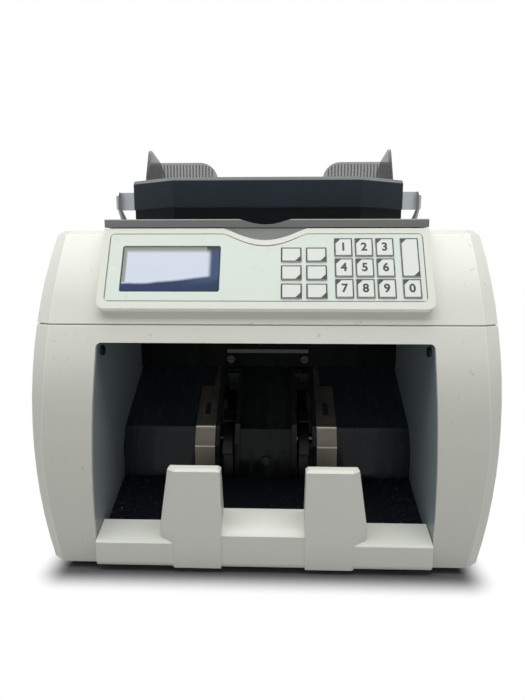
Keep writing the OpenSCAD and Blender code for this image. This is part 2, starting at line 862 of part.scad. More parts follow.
module hopper_tray() {
    w = hopper_half_w;
    wall_w = panel_w / 2 - skirt_t - 0.6;
    color(lip_grey) union() {
        difference() {
            union() {
                along_x(-w, w) lip_profile();
                along_x(-w, w) bed_profile();
                mirrored() along_x(w - liner_t, w) cheek_profile();
                mirrored()
                    block([w - liner_t, ear_front, deck_z], [frame_x + frame_t, ear_rear, deck_z + ear_t]);
            }
            mirrored() block(
                [wall_w, -lip_front - 1, lip_wall_low_z - 1],
                [w + 1, -lip_front + lip_depth - hopper_t - eps, lip_z - lip_t]
            );
            translate([0, -lip_front - 1, lip_z]) rotate([90, 0, 180]) mirror([1, 0, 0])
                linear_extrude(lip_depth + 2) notch(lip_notch_half_w, lip_notch_depth);
            mirrored() rod_x(
                pickup_x - pickup_w / 2 - window_gap, pickup_x + pickup_w / 2 + window_gap,
                pickup_r + window_gap, pickup_at
            );
            on_bed() guide_slots();
        }
        // tongue that fills the panel's thumb notch
        in_panel() translate([0, panel_l, -panel_t]) linear_extrude(panel_t - tongue_drop) intersection() {
            translate([0, tongue_gap]) notch(notch_half_w, notch_depth);
            translate([-notch_half_w, -panel_l]) square([2 * notch_half_w, panel_l + tongue_lap]);
        }
        // headed pin that carries the pinion
        on_bed() translate([0, pinion_v, rack_top - pinion_w - pin_head_gap - pin_head_t]) {
            cylinder(h = pin_head_t + pin_head_gap + pinion_w - rack_top - hopper_t / 2, r = pin_r);
            cylinder(h = pin_head_t, r = 1.6 * pin_r);
        }
    }
}

// One note guide, built as the right-hand one
module note_guide(rack_side) {
    x = guide_out - guide_t;
    v = pinion_v + rack_side * (pitch_r + gear_module * 1.25 + rack_bar_w / 2);
    plate_rear = guide_stop - bed_front;
    lift = guide_clear / cos(bed_slope);
    low = bed_low_z + (plate_rear + bed_front) * slope_tan + lift;
    stop_z = guide_h - guide_stop_drop;
    color(smoke_grey) {
        along_x(x, guide_out) polygon(concat(
            [[-bed_front + 1, bed_low_z + slope_tan + lift]],
            [for (p = guide_front_edge) [p[0] - bed_front, guide_h - p[1]]],
            [for (p = guide_rear_edge) [plate_rear - p[0], guide_h - p[1]]],
            [[plate_rear, low]]
        ));
        guide_stop_wall(low, stop_z, plate_rear);
        on_bed() {
            // foot along the bed, neck through the slot and toothed rack below
            translate([guide_out - guide_foot_w, v - guide_foot_l / 2, guide_clear])
                cube([guide_foot_w, guide_foot_l, guide_t]);
            translate([guide_out - neck_w - neck_gap, v - neck_d / 2, rack_top - pinion_w])
                cube([neck_w, neck_d, guide_clear + guide_t - rack_top + pinion_w]);
            translate([0, v, rack_top - pinion_w]) linear_extrude(pinion_w) {
                translate([-rack_overrun, -rack_bar_w / 2])
                    square([guide_out + rack_overrun - neck_gap, rack_bar_w]);
                mirror([0, rack_side > 0 ? 1 : 0]) rack_teeth(-rack_overrun, guide_travel + rack_overrun);
            }
        }
    }
}

// Rear stop wall of a guide, across the bed, with its upper inner corner rounded
module guide_stop_wall(low, high, y) {
    corner = min(guide_corner_r, high - low - 1);
    left = guide_out - guide_stop_w;
    right = guide_out + guide_wing_w;
    translate([0, y - guide_t, 0]) rotate([90, 0, 0]) mirror([0, 0, 1]) linear_extrude(guide_t) {
        translate([left, low]) square([right - left, high - corner - low]);
        translate([left + corner, low]) square([right - left - corner, high - low]);
        translate([left + corner, high - corner]) circle(corner);
    }
}

// Rack teeth pointing up from the bar's edge towards the pinion
module rack_teeth(from, to) {
    pitch = PI * gear_module;
    root = rack_bar_w / 2;
    slant = tan(20) * gear_module;
    half_tip = pitch / 4 - slant - gear_play / 2;
    half_root = pitch / 4 + slant * 1.25 - gear_play / 2;
    tip = gear_module * 2.2;
    first = ceil(from / pitch);
    last = floor(to / pitch) - 1;
    for (i = [first:last])
        translate([(i + 0.5) * pitch, root]) polygon([
            [-half_root, -eps], [-half_tip, tip], [half_tip, tip], [half_root, -eps]
        ]);
}

function involute(r, a) = [r * (cos(a) + a * PI / 180 * sin(a)), r * (sin(a) - a * PI / 180 * cos(a))];
function turned(p, a) = [p[0] * cos(a) - p[1] * sin(a), p[0] * sin(a) + p[1] * cos(a)];

module guide_pinion() {
    base_r = pitch_r * cos(20);
    tip_r = pitch_r + gear_module * 0.95;
    root_r = pitch_r - gear_module * 1.2;
    tip_a = sqrt(pow(tip_r / base_r, 2) - 1) * 180 / PI;
    pitch_a = sqrt(pow(pitch_r / base_r, 2) - 1) * 180 / PI;
    skew = pitch_a - atan(pitch_a * PI / 180);
    half = 90 / pinion_teeth + skew - gear_play / pitch_r * 90 / PI;
    steps = 4;
    flank = [for (i = [0:steps]) involute(base_r, tip_a * i / steps)];
    color([0.85, 0.85, 0.8]) on_bed() translate([0, pinion_v, rack_top - pinion_w]) difference() {
        linear_extrude(pinion_w) union() {
            circle(root_r);
            for (t = [0:pinion_teeth - 1])
                rotate([0, 0, t * 360 / pinion_teeth + 90]) polygon(concat(
                    [[root_r * 0.8, -1.2]],
                    [for (p = flank) turned(p, -half)],
                    [for (i = [steps:-1:0]) turned([flank[i][0], -flank[i][1]], half)],
                    [[root_r * 0.8, 1.2]]
                ));
        }
        translate([0, 0, -1]) cylinder(h = pinion_w + 2, r = pin_r + run_gap);
    }
}

module guide_right() { note_guide(-1); }

module guide_left() { mirror([1, 0, 0]) note_guide(1); }

// Feed gate
module bar_outline(grow, back) {
    m = bar_mid_half;
    e = bar_half_l;
    f = -bar_front + grow;
    polygon([
        [-m, f], [m, f], [e, f + bar_setback], [e, f + bar_setback + back], [m, f + back],
        [-m, f + back], [-e, f + bar_setback + back], [-e, f + bar_setback]
    ]);
}

module feed_gate() {
    face_low = bar_top_z - bar_face_h;
    chamfer = 2.5;
    body_low = bar_top_z - bar_h;
    body_set = 2.5;
    post_x = 45;
    post_r = 4;
    color(bar_black) {
        difference() {
            translate([0, 0, face_low]) linear_extrude(bar_face_h) bar_outline(0, bar_t);
            bar_chamfer(chamfer);
        }
        difference() {
            translate([0, 0, body_low]) linear_extrude(face_low - body_low + eps)
                bar_outline(body_set, bar_t - body_set);
            rod_x(-retard_shaft_half - 1, retard_shaft_half + 1, retard_r + roller_clear, retard_at);
        }
        // posts that the steel yoke is screwed to
        mirrored() translate([post_x, 0, 0]) rod_y(-bar_front + bar_t - eps, yoke_y, post_r, [0, yoke_z]);
    }
}

// The slanting cut along the bar's upper front edge
module bar_chamfer(c) {
    m = bar_mid_half;
    end_l = sqrt(pow(bar_half_l - m, 2) + pow(bar_setback, 2));
    angle = atan(bar_setback / (bar_half_l - m));
    along_x(-m - 1, m + 1) bar_chamfer_profile(c, -bar_front);
    for (side = [0, 1]) mirror([side, 0, 0])
        translate([m, -bar_front, 0]) rotate([0, 0, angle]) along_x(-1, end_l + 4) bar_chamfer_profile(c, 0);
}

module bar_chamfer_profile(c, y) {
    polygon([[y - 1, bar_top_z - c - 1], [y - 1, bar_top_z + 1], [y + c + 1, bar_top_z + 1]]);
}

module gate_yoke() {
    low = yoke_z - yoke_strap_h / 2;
    high = yoke_z + yoke_strap_h / 2;
    rear = yoke_y + yoke_t;
    nose = yoke_y - yoke_nose;
    inner = yoke_half_w - yoke_t;
    pivot = [-pivot_front, pivot_z];
    corner = [rear, low];
    color(steel) {
        block([-yoke_half_w, yoke_y, low], [yoke_half_w, rear, high]);
        mirrored() {
            along_x(inner, yoke_half_w) {
                polygon(concat(
                    [corner, [rear, high], [nose + yoke_corner, high]],
                    [[nose, high - yoke_corner], [nose, low]],
                    shifted(yoke_leg_front, 1, corner),
                    [pivot - [yoke_leg_r, 0], pivot + [yoke_leg_r, 0]],
                    shifted(yoke_leg_rear, 1, corner)
                ));
                translate(pivot) circle(yoke_leg_r);
            }
            rod_x(inner, frame_x + frame_t + 1, pivot_r, pivot);
        }
        // arms that carry the retard rollers
        for (x = [-retard_arm_x, retard_arm_x]) along_x(x - yoke_t / 2, x + yoke_t / 2) retard_arm();
    }
}

module retard_arm() {
    difference() {
        hull() {
            translate(retard_at) circle(2.5 * retard_shaft_r, $fn = 32);
            translate([yoke_y, yoke_z - yoke_strap_h / 2]) square([yoke_t, yoke_strap_h]);
        }
        translate(retard_at) circle(retard_shaft_r);
    }
}

module retard_rollers() {
    color([0.25, 0.25, 0.27]) {
        rod_x(-retard_shaft_half, retard_shaft_half, retard_shaft_r, retard_at);
        mirrored() rod_x(feed_x - feed_w / 2 + 1, feed_x + feed_w / 2 - 1, retard_r, retard_at);
    }
}

// Pocket
function shifted(line, d, t) = [for (p = line) p + d * t];
function reversed(list) = [for (i = [len(list) - 1:-1:0]) list[i]];

module guide_sheet(from, to, front, back) {
    along_x(from, to) intersection() {
        polygon(concat(
            shifted(guide_line, guide_back, front),
            reversed(shifted(guide_line, guide_back, back))
        ));
        translate([-reach / 2, 0]) square([reach, guide_top_z]);
    }
}

module back_guide() {
    color(gloss_black) guide_sheet(centre_half_w, pocket_half_w, 0, guide_sheet_t);
}

module back_guide_left() { mirror([1, 0, 0]) back_guide(); }

module back_guide_right() { back_guide(); }

module centre_guide() {
    color(gloss_black) {
        slot_in = stacker_x - stacker_w / 2 - 1.5;
        mirrored() {
            guide_sheet(centre_panel_half_w, slot_in, -3, guide_sheet_t + 4);
            guide_sheet(centre_half_w - rib_t, centre_half_w, -1, guide_sheet_t + 1);
        }
        difference() {
            guide_sheet(-centre_panel_half_w, centre_panel_half_w, 3, guide_sheet_t + 4);
            rod_y(-reach, 0, screw_r, [0, centre_screw_z]);
        }
        // the bar that ties the ribs together behind the panel
        w = centre_half_w;
        block([-w, -10, guide_top_z - 14], [w, -4, guide_top_z - 6]);
    }
}

module steel_strips() {
    low_x = centre_half_w + strip_gap;
    face = -housing_front;
    color(steel) {
        mirrored() difference() {
            guide_sheet(low_x, low_x + strip_w, -strip_t, 0);
            block(
                [low_x + strip_slot[0], -reach, strip_slot_z[0]],
                [low_x + strip_slot[1], 0, strip_slot_z[1]]
            );
            block([low_x + strip_neck, -reach, strip_neck_z], [low_x + strip_w + 1, reach, reach]);
        }
        block([-sensor_strip[0], face - strip_t, sensor_strip[1]], [sensor_strip[0], face, sensor_strip[2]]);
    }
}

module cross_housing() {
    w = pocket_half_w;
    f = front_y(ceiling_z, wall) + 4;
    color(gloss_black) difference() {
        along_x(-w, w) polygon([
            [-housing_front, guide_top_z], [-housing_front, ceiling_z], [f, ceiling_z],
            [f, ceiling_z + liner_t], [-housing_back, ceiling_z + liner_t], [-housing_back, guide_top_z]
        ]);
        mirrored() rod_y(-housing_front - 1, -housing_front + screw_l, screw_r, housing_screw);
    }
}

module pocket_wall() {
    low = pan_top_z;
    high = ceiling_z;
    color(liner_grey) difference() {
        along_x(pocket_half_w, pocket_half_w + liner_t) polygon(concat(
            [for (i = [0:wall_steps])
                let (z = low + (high - low) * i / wall_steps) [front_y(z, wall) + 0.3, z]],
            [[-wall_back, high], [-wall_back, low]]
        ));
        rod_x(0, reach, shaft_r + 2, stacker_at);
        rod_x(pocket_half_w - 1, reach, screw_r, wall_screw);
    }
}

module pocket_wall_left() { mirror([1, 0, 0]) pocket_wall(); }

module pocket_wall_right() { pocket_wall(); }

module pocket_floor() {
    drop = [0, -liner_t];
    color([0.04, 0.04, 0.05]) along_x(-pocket_half_w, pocket_half_w)
        polygon([floor_back, floor_front, floor_front + drop, floor_back + drop]);
}

// From the rear top edge, down to a knee near the front, then over the front edge and under the bevel
module tray_profile(back_z, knee, edge_z) {
    f = -tray_face;
    b = -tray_rear;
    polygon([
        [b, back_z], knee, [f + tray_edge_r, edge_z], [f, edge_z - tray_edge_r], [f, tray_bevel_z],
        [f + tray_bevel_d, tray_low_z], [b, tray_low_z]
    ]);
}

// A stop finger: a flat face with a slanting outer side, widest near the tray's top, thin at its tip
module finger() {
    in = finger_inner;
    edge = in + finger_w;
    back = -tray_rear - eps;
    face = -finger_face;
    tip = -finger_tip_y;
    side = -finger_side_y;
    hull() {
        finger_layer(tray_low_z - 0.5, [in, edge, edge + 1.4], [face + 1, face + 2, back]);
        finger_layer(finger_widest_z, [in - 0.4, edge - 0.4, edge + finger_flare], [face, side, back]);
        finger_layer(finger_h - 1.5, [in, edge - 0.2, edge + 4], [tip, tip + 3.5, tip + finger_tip_t]);
        finger_layer(
            finger_h,
            [in + 1.5, edge - 1, edge + 2.8],
            [tip + 1.5, tip + 4.5, tip + finger_tip_t - 1]
        );
    }
}

// One level of a finger: xs of its inner side, face edge and outer side; ys of its face, outer side and back
module finger_layer(z, xs, ys) {
    translate([0, 0, z]) linear_extrude(eps)
        polygon([[xs[0], ys[0]], [xs[1], ys[0]], [xs[2], ys[1]], [xs[2], ys[2]], [xs[0], ys[2]]]);
}

module front_tray() {
    w = pocket_half_w - tray_gap;
    color(tray_grey) {
        along_x(-w, w) tray_profile(tray_back_z, tray_side_knee, tray_side_edge_z);
        along_x(-finger_inner - 1, finger_inner + 1)
            tray_profile(tray_step_z, tray_step_knee, tray_step_edge_z);
        mirrored() finger();
        block([-w, -tray_rear - 1, pan_top_z], [w, -tray_rear + tray_tongue, pan_top_z + tray_tongue_t]);
    }
}

// Screws lie with their heads on the face they hold
module screw(length = screw_l) {
    difference() {
        cylinder(h = screw_head_h, r = screw_head_r);
        translate([-screw_head_r, -0.4, screw_head_h - 0.7]) cube([2 * screw_head_r, 0.8, 1]);
    }
    translate([0, 0, -length]) cylinder(h = length + eps, r = screw_r);
}

module screws() {
    panel_face = [for (p = shifted(guide_line, guide_back, 3)) p];
    low = panel_face[3];
    high = panel_face[2];
    centre_y = low[0] + (high[0] - low[0]) * (centre_screw_z - low[1]) / (high[1] - low[1]);
    color(steel) {
        mirrored() {
            translate([pocket_half_w, wall_screw[0], wall_screw[1]]) rotate([0, -90, 0]) screw(liner_t);
            translate([housing_screw[0], -housing_front, housing_screw[1]]) rotate([90, 0, 0]) screw();
        }
        translate([0, centre_y - 0.4, centre_screw_z]) rotate([90, 0, 0]) screw(1);
        for (s = cover_screws) translate([s[0], rear_y(s[1]), s[1]]) rotate([-90, 0, 0]) screw();
    }
}

// Mechanism
module frame_plate() {
    difference() {
        along_x(frame_x, frame_x + frame_t) polygon([
            each frame_edge, [frame_edge[2][0], pan_top_z], [frame_rear, pan_top_z], [frame_rear, deck_z]
        ]);
        for (at = [feed_at, pickup_at, stacker_at]) rod_x(0, reach, bearing_r, at);
        rod_x(0, reach, pivot_r + run_gap, [-pivot_front, pivot_z]);
    }
}

module side_frame_left() {
    color(steel) difference() {
        mirror([1, 0, 0]) frame_plate();
        rod_x(-reach, 0, motor_hole_r, motor_at);
    }
}

module side_frame_right() { color(steel) frame_plate(); }

module shaft_bearings() {
    from = frame_x + frame_t / 2 - bearing_w / 2;
    color([0.6, 0.5, 0.3]) for (at = [feed_at, pickup_at, stacker_at]) mirrored() difference() {
        rod_x(from, from + bearing_w, bearing_r, at);
        rod_x(0, reach, shaft_r + run_gap, at);
    }
}

module pulley(side, r, at) {
    from = belt_in - 1 - pulley_flange_t;
    to = belt_in + belt_w + 1 + pulley_flange_t;
    mirror([side < 0 ? 1 : 0, 0, 0]) {
        rod_x(from, to, r, at);
        rod_x(from, from + pulley_flange_t, r + belt_t + pulley_flange, at);
        rod_x(to - pulley_flange_t, to, r + belt_t + pulley_flange, at);
    }
}

module feed_shaft() {
    color(steel) {
        rod_x(-shaft_end, shaft_end, shaft_r, feed_at);
        pulley(-1, feed_pulley_r, feed_at);
        pulley(1, feed_side_pulley_r, feed_at);
    }
}

module stacker_shaft() {
    color(steel) {
        rod_x(-shaft_end, short_end, shaft_r, stacker_at);
        pulley(-1, stacker_pulley_r, stacker_at);
    }
}

module pickup_shaft() {
    color(steel) {
        rod_x(-short_end, shaft_end, shaft_r, pickup_at);
        pulley(1, pickup_pulley_r, pickup_at);
    }
}

module roller_pair(x, w, r, at) {
    for (side = [-1, 1]) difference() {
        rod_x(side * x - w / 2, side * x + w / 2, r, at);
        rod_x(-reach, reach, shaft_r, at);
    }
}

module feed_rollers() { color(rubber_black) roller_pair(feed_x, feed_w, feed_r, feed_at); }

module pickup_rollers() { color(rubber_black) roller_pair(pickup_x, pickup_w, pickup_r, pickup_at); }

// A wheel with curved fingers that carry each note down to the pile
module stacker_wheel() {
    hub_r = 13;
    root_t = 3;
    tip_t = 1.2;
    sweep = 70;
    steps = 7;
    function spiral(i) = hub_r - 1 + (stacker_r - hub_r + 1) * i / steps;
    function edge(i, side) =
        let (
            r = spiral(i),
            a = sweep * pow(i / steps, 1.2),
            t = root_t + (tip_t - root_t) * i / steps,
            b = a + side * t / r * 90 / PI
        ) [r * cos(b), r * sin(b)];
    difference() {
        union() {
            circle(hub_r);
            for (f = [0:stacker_fingers - 1]) rotate([0, 0, f * 360 / stacker_fingers]) polygon(concat(
                [for (i = [0:steps]) edge(i, -1)],
                [for (i = [steps:-1:0]) edge(i, 1)]
            ));
        }
        circle(shaft_r);
    }
}

module stacker_wheels() {
    color([0.12, 0.12, 0.13]) for (side = [-1, 1])
        translate([side * stacker_x - stacker_w / 2, stacker_at[0], stacker_at[1]])
            rotate([90, 0, 90]) linear_extrude(stacker_w) stacker_wheel();
}

module belt_loop(pulleys) {
    difference() {
        hull() {
            for (p = pulleys) translate(p[0]) circle(p[1] + belt_gap + belt_t, $fn = 48);
        }
        hull() {
            for (p = pulleys) translate(p[0]) circle(p[1] + belt_gap, $fn = 48);
        }
    }
}

module drive_belts() {
    color(rubber_black) {
        along_x(-belt_in - belt_w, -belt_in) belt_loop([
            [feed_at, feed_pulley_r], [stacker_at, stacker_pulley_r], [motor_at, motor_pulley_r]
        ]);
        along_x(belt_in, belt_in + belt_w) belt_loop([
            [feed_at, feed_side_pulley_r], [pickup_at, pickup_pulley_r]
        ]);
    }
}

module drive_motor() {
    from = -frame_x + motor_flange_t;
    half = motor_r + 2;
    color([0.55, 0.56, 0.58]) difference() {
        union() {
            rod_x(from, from + motor_l, motor_r, motor_at);
            block(
                [-frame_x, motor_at[0] - half, motor_at[1] - half],
                [from + eps, motor_at[0] + half, motor_at[1] + half]
            );
        }
        rod_x(-reach, from + motor_l / 2, motor_shaft_r + run_gap, motor_at);
    }
}

module motor_pulley() {
    color(steel) {
        rod_x(-shaft_end, -frame_x + motor_flange_t + motor_l / 2 - 1, motor_shaft_r, motor_at);
        pulley(-1, motor_pulley_r, motor_at);
    }
}

module main_board() {
    y = frame_rear + board_off;
    low = board_low_z;
    high = board_high_z;
    spacer = 8;
    color(board_green) {
        mirrored() block([frame_x - spacer, frame_rear - 2, low], [frame_x, y, low + spacer]);
        block([-frame_x, y, low], [frame_x, y + board_t, high]);
        for (x = chip_columns) translate([x, y + board_t - eps, low + chip_up]) cube(chip);
    }
}

module power_supply() {
    top = supply_plate[2] - eps;
    color([0.7, 0.68, 0.5]) translate([supply_x, supply_front, pan_top_z]) {
        cube(supply_plate);
        translate([supply_edge, supply_edge, top]) cube(supply_core);
        for (y = supply_can_rows) translate([supply_plate[0] - 2 * supply_edge, y, top])
            cylinder(h = supply_can[1], r = supply_can[0]);
    }
}

module power_inlet() {
    y = casing_rear;
    cx = inlet_x + socket_x;
    sx = inlet_x + switch_x;
    frame_half = switch_size / 2 + switch_gap * [1, 1];
    color([0.1, 0.1, 0.1]) {
        difference() {
            union() {
                block(
                    [inlet_x - inlet_size[0] / 2, y, inlet_z - inlet_size[1] / 2],
                    [inlet_x + inlet_size[0] / 2, y + inlet_flange_t, inlet_z + inlet_size[1] / 2]
                );
                block(
                    [cx - socket_body[0] / 2, y - socket_body[2], inlet_z - socket_body[1] / 2],
                    [cx + socket_body[0] / 2, y + eps, inlet_z + socket_body[1] / 2]
                );
                switch_housing(switch_body_t, y + eps);
            }
            translate([cx - socket_size[0] / 2, y + inlet_flange_t + 1, inlet_z - socket_size[1] / 2])
                rotate([90, 0, 0]) linear_extrude(socket_depth + 1) rounded(socket_size, socket_corner_r);
            switch_housing(0, y + reach);
        }
        for (i = [-1, 0, 1])
            translate([cx + i * blade_pitch, y + inlet_flange_t - socket_depth, inlet_z + (i == 0 ? 2 : -2)])
                translate([-blade[0] / 2, -eps, -blade[2] / 2]) cube(blade);
        // stub pins that the rocker turns on
        translate([sx, 0, 0]) mirrored() rod_x(
            switch_size[0] / 2 - pin_bite, frame_half[0] + pin_bite,
            switch_pin_r, [y - switch_pin_in, inlet_z]
        );
    }
}

module power_switch() {
    x = inlet_x + switch_x;
    half = switch_size / 2;
    color([0.15, 0.15, 0.16]) translate([x, casing_rear - switch_pin_in, inlet_z])
        rotate([-switch_tilt, 0, 0]) difference() {
            along_x(-half[0], half[0]) polygon([
                [-6, -4], [-4, -half[1]], [2.6, -half[1]], [1.4, 0], [2.6, half[1]], [-4, half[1]], [-6, 4]
            ]);
            mirrored() rod_x(half[0] - pin_bite - 0.1, 2 * half[0], switch_pin_r + run_gap, [0, 0]);
        }
}

module gap_knob() {
    color([0.15, 0.15, 0.16]) translate([knob_at[0], knob_at[1], casing_h]) {
        difference() {
            translate([0, 0, 0.4]) cylinder(h = knob_h - 0.4, r = knob_r);
            for (i = [0:knob_grips - 1]) rotate([0, 0, i * 360 / knob_grips])
                translate([knob_r + 0.4, 0, 1]) cylinder(h = knob_h, r = 1);
            translate([-0.5, 2, knob_h - 0.6]) cube([1, knob_r, 1]);
        }
        translate([0, 0, -knob_stem_l]) cylinder(h = knob_stem_l + 0.4 + eps, r = knob_stem_r);
    }
}

base_pan();
rubber_feet();
lower_casing();
upper_casing();
rear_cover();
panel_bezel();
panel_overlay();
lcd_module();
key_board();
hopper_tray();
side_frame_left();
side_frame_right();
pocket_wall_left();
pocket_wall_right();
back_guide_left();
back_guide_right();
centre_guide();
steel_strips();
cross_housing();
pocket_floor();
front_tray();
screws();
main_board();
power_supply();
drive_motor();
power_inlet();
shaft_bearings();
drive_belts();
feed_gate();
gate_yoke();
retard_rollers();
guide_left();
guide_right();
guide_pinion();
pickup_shaft();
pickup_rollers();
feed_shaft();
feed_rollers();
stacker_shaft();
stacker_wheels();
motor_pulley();
power_switch();
gap_knob();
key(0);  // key_0
key(1);  // key_1
key(2);  // key_2
key(3);  // key_3
key(4);  // key_4
key(5);  // key_5
key(6);  // key_6
key(7);  // key_7
key(8);  // key_8
key(9);  // key_9
key(10);  // key_clear
key(11);  // key_function_1
key(12);  // key_function_2
key(13);  // key_function_3
key(14);  // key_function_4
key(15);  // key_function_5
key(16);  // key_function_6
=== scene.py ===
import json
import math

import bpy
from mathutils import Matrix, Vector


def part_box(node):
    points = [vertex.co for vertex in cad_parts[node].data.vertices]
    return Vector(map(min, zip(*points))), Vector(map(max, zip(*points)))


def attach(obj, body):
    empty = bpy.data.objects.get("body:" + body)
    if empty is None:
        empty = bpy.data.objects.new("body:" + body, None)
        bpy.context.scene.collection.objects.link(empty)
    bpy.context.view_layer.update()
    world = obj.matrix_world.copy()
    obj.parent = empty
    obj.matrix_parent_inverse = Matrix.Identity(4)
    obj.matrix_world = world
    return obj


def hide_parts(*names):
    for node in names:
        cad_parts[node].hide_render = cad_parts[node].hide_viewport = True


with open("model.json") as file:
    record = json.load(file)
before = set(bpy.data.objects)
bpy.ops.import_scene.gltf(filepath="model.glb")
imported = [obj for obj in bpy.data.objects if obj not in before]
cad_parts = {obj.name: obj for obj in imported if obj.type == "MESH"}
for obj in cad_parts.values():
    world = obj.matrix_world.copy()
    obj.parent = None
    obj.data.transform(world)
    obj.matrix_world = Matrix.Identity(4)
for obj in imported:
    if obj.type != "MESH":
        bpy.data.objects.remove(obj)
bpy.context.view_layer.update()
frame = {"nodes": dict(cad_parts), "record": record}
nodes = frame["nodes"]
bodyOf = {node: body for body, members in frame["record"]["behaviour"]["bodies"].items() for node in members}
print("frame loaded:", len(nodes), "nodes")

# the sloping control panel: its lower edge, and its own up and out directions
panelSet = {"low": (0, -0.1105, 0.1565), "tilt": 27.7}
panelLow = Vector(panelSet["low"])
panelTilt = math.radians(panelSet["tilt"])
panelUp = Vector((0, math.sin(panelTilt), math.cos(panelTilt)))
panelOut = Vector((0, -math.cos(panelTilt), math.sin(panelTilt)))


# small helpers for modelling

def deselectAll():
    if bpy.context.object and bpy.context.object.mode != "OBJECT":
        bpy.ops.object.mode_set(mode="OBJECT")
    bpy.ops.object.select_all(action="DESELECT")


def takeUp(piece):
    deselectAll()
    piece.select_set(True)
    bpy.context.view_layer.objects.active = piece


def settle(piece):
    takeUp(piece)
    bpy.ops.object.transform_apply(location=True, rotation=True, scale=True)


def applyModifiers(piece):
    takeUp(piece)
    for modifier in list(piece.modifiers):
        bpy.ops.object.modifier_apply(modifier=modifier.name)


def leaveEdit():
    bpy.ops.object.mode_set(mode="OBJECT")


def roundEdges(piece, width, segments=3, angle=30, edgeHighlight=None):
    # the last argument is a second, paler material for the rounded edges alone: a painted highlight along
    # them
    if width > 0:
        bevel = piece.modifiers.new("edges", "BEVEL")
        bevel.width = width
        bevel.segments = segments
        bevel.limit_method = "ANGLE"
        bevel.angle_limit = math.radians(angle)
        bevel.use_clamp_overlap = True
        bevel.miter_outer = "MITER_ARC"
        # the rounded edges take the paler material: a painted highlight
        if edgeHighlight:
            piece.data.materials.append(edgeHighlight)
            bevel.material = 1
        applyModifiers(piece)
    takeUp(piece)
    bpy.ops.object.shade_smooth_by_angle(angle=math.radians(angle))
    weigh = piece.modifiers.new("facing", "WEIGHTED_NORMAL")
    weigh.keep_sharp = True
    applyModifiers(piece)


def dress(piece, material):
    piece.data.materials.clear()
    piece.data.materials.append(material)


mergeSet = {"weld": 0.00002, "flat": 0.6}


def mergedCopy(node, name):
    # a clean copy of a CAD node's mesh, for a piece that replaces it
    source = nodes[node]
    piece = bpy.data.objects.new(name, source.data.copy())
    bpy.context.scene.collection.objects.link(piece)
    takeUp(piece)
    bpy.ops.object.mode_set(mode="EDIT")
    bpy.ops.mesh.select_all(action="SELECT")
    bpy.ops.mesh.remove_doubles(threshold=mergeSet["weld"])
    bpy.ops.mesh.dissolve_limited(angle_limit=math.radians(mergeSet["flat"]))
    leaveEdit()
    return piece


def finishNode(node, material, edge=0.0, segments=3, angle=30, edgeHighlight=None):
    if edge == 0:
        dress(nodes[node], material)
        return
    piece = mergedCopy(node, node + "_shell")
    dress(piece, material)
    # the rounded edges may take a second, paler material: a painted highlight
    roundEdges(piece, edge, segments, angle, edgeHighlight)
    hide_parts(node)
    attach(piece, bodyOf[node])


def addTo(piece, node):
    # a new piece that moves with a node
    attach(piece, bodyOf[node])


def span(node, direction):
    reach = [vertex.co.dot(direction) for vertex in nodes[node].data.vertices]
    return min(reach), max(reach)


# materials

def feed(tree, socket, value):
    # a wire is linked, and a plain value is set
    if isinstance(value, Wire):
        tree.links.new(value.socket, socket)
    else:
        socket.default_value = value


class Wire:
    def __init__(self, tree, socket):
        self.tree = tree
        self.socket = socket

    def maths(self, operation, *values):
        made = self.tree.nodes.new("ShaderNodeMath")
        made.operation = operation
        for socket, value in zip(made.inputs, values):
            feed(self.tree, socket, value)
        return Wire(self.tree, made.outputs[0])

    def __add__(self, other):
        return self.maths("ADD", self, other)

    def __sub__(self, other):
        return self.maths("SUBTRACT", self, other)

    def __rsub__(self, other):
        return self.maths("SUBTRACT", other, self)

    def __mul__(self, other):
        return self.maths("MULTIPLY", self, other)

    def power(self, other):
        return self.maths("POWER", self, other)

    def larger(self, other):
        return self.maths("MAXIMUM", self, other)

    def smaller(self, other):
        return self.maths("MINIMUM", self, other)

    def above(self, other):
        return self.maths("GREATER_THAN", self, other)

    def below(self, other):
        return self.maths("LESS_THAN", self, other)

    def size(self):
        return self.maths("ABSOLUTE", self)

    def near(self, middle, half):
        # 1 within half of middle, 0 elsewhere
        return (self - middle).size().below(half)


# noise scales of the patterns that most surfaces share, and the depth of the finest one
grainSet = {"drift": 7, "gloss": 35, "scuff": 90, "spark": 1400, "sparkDepth": 0.00006}


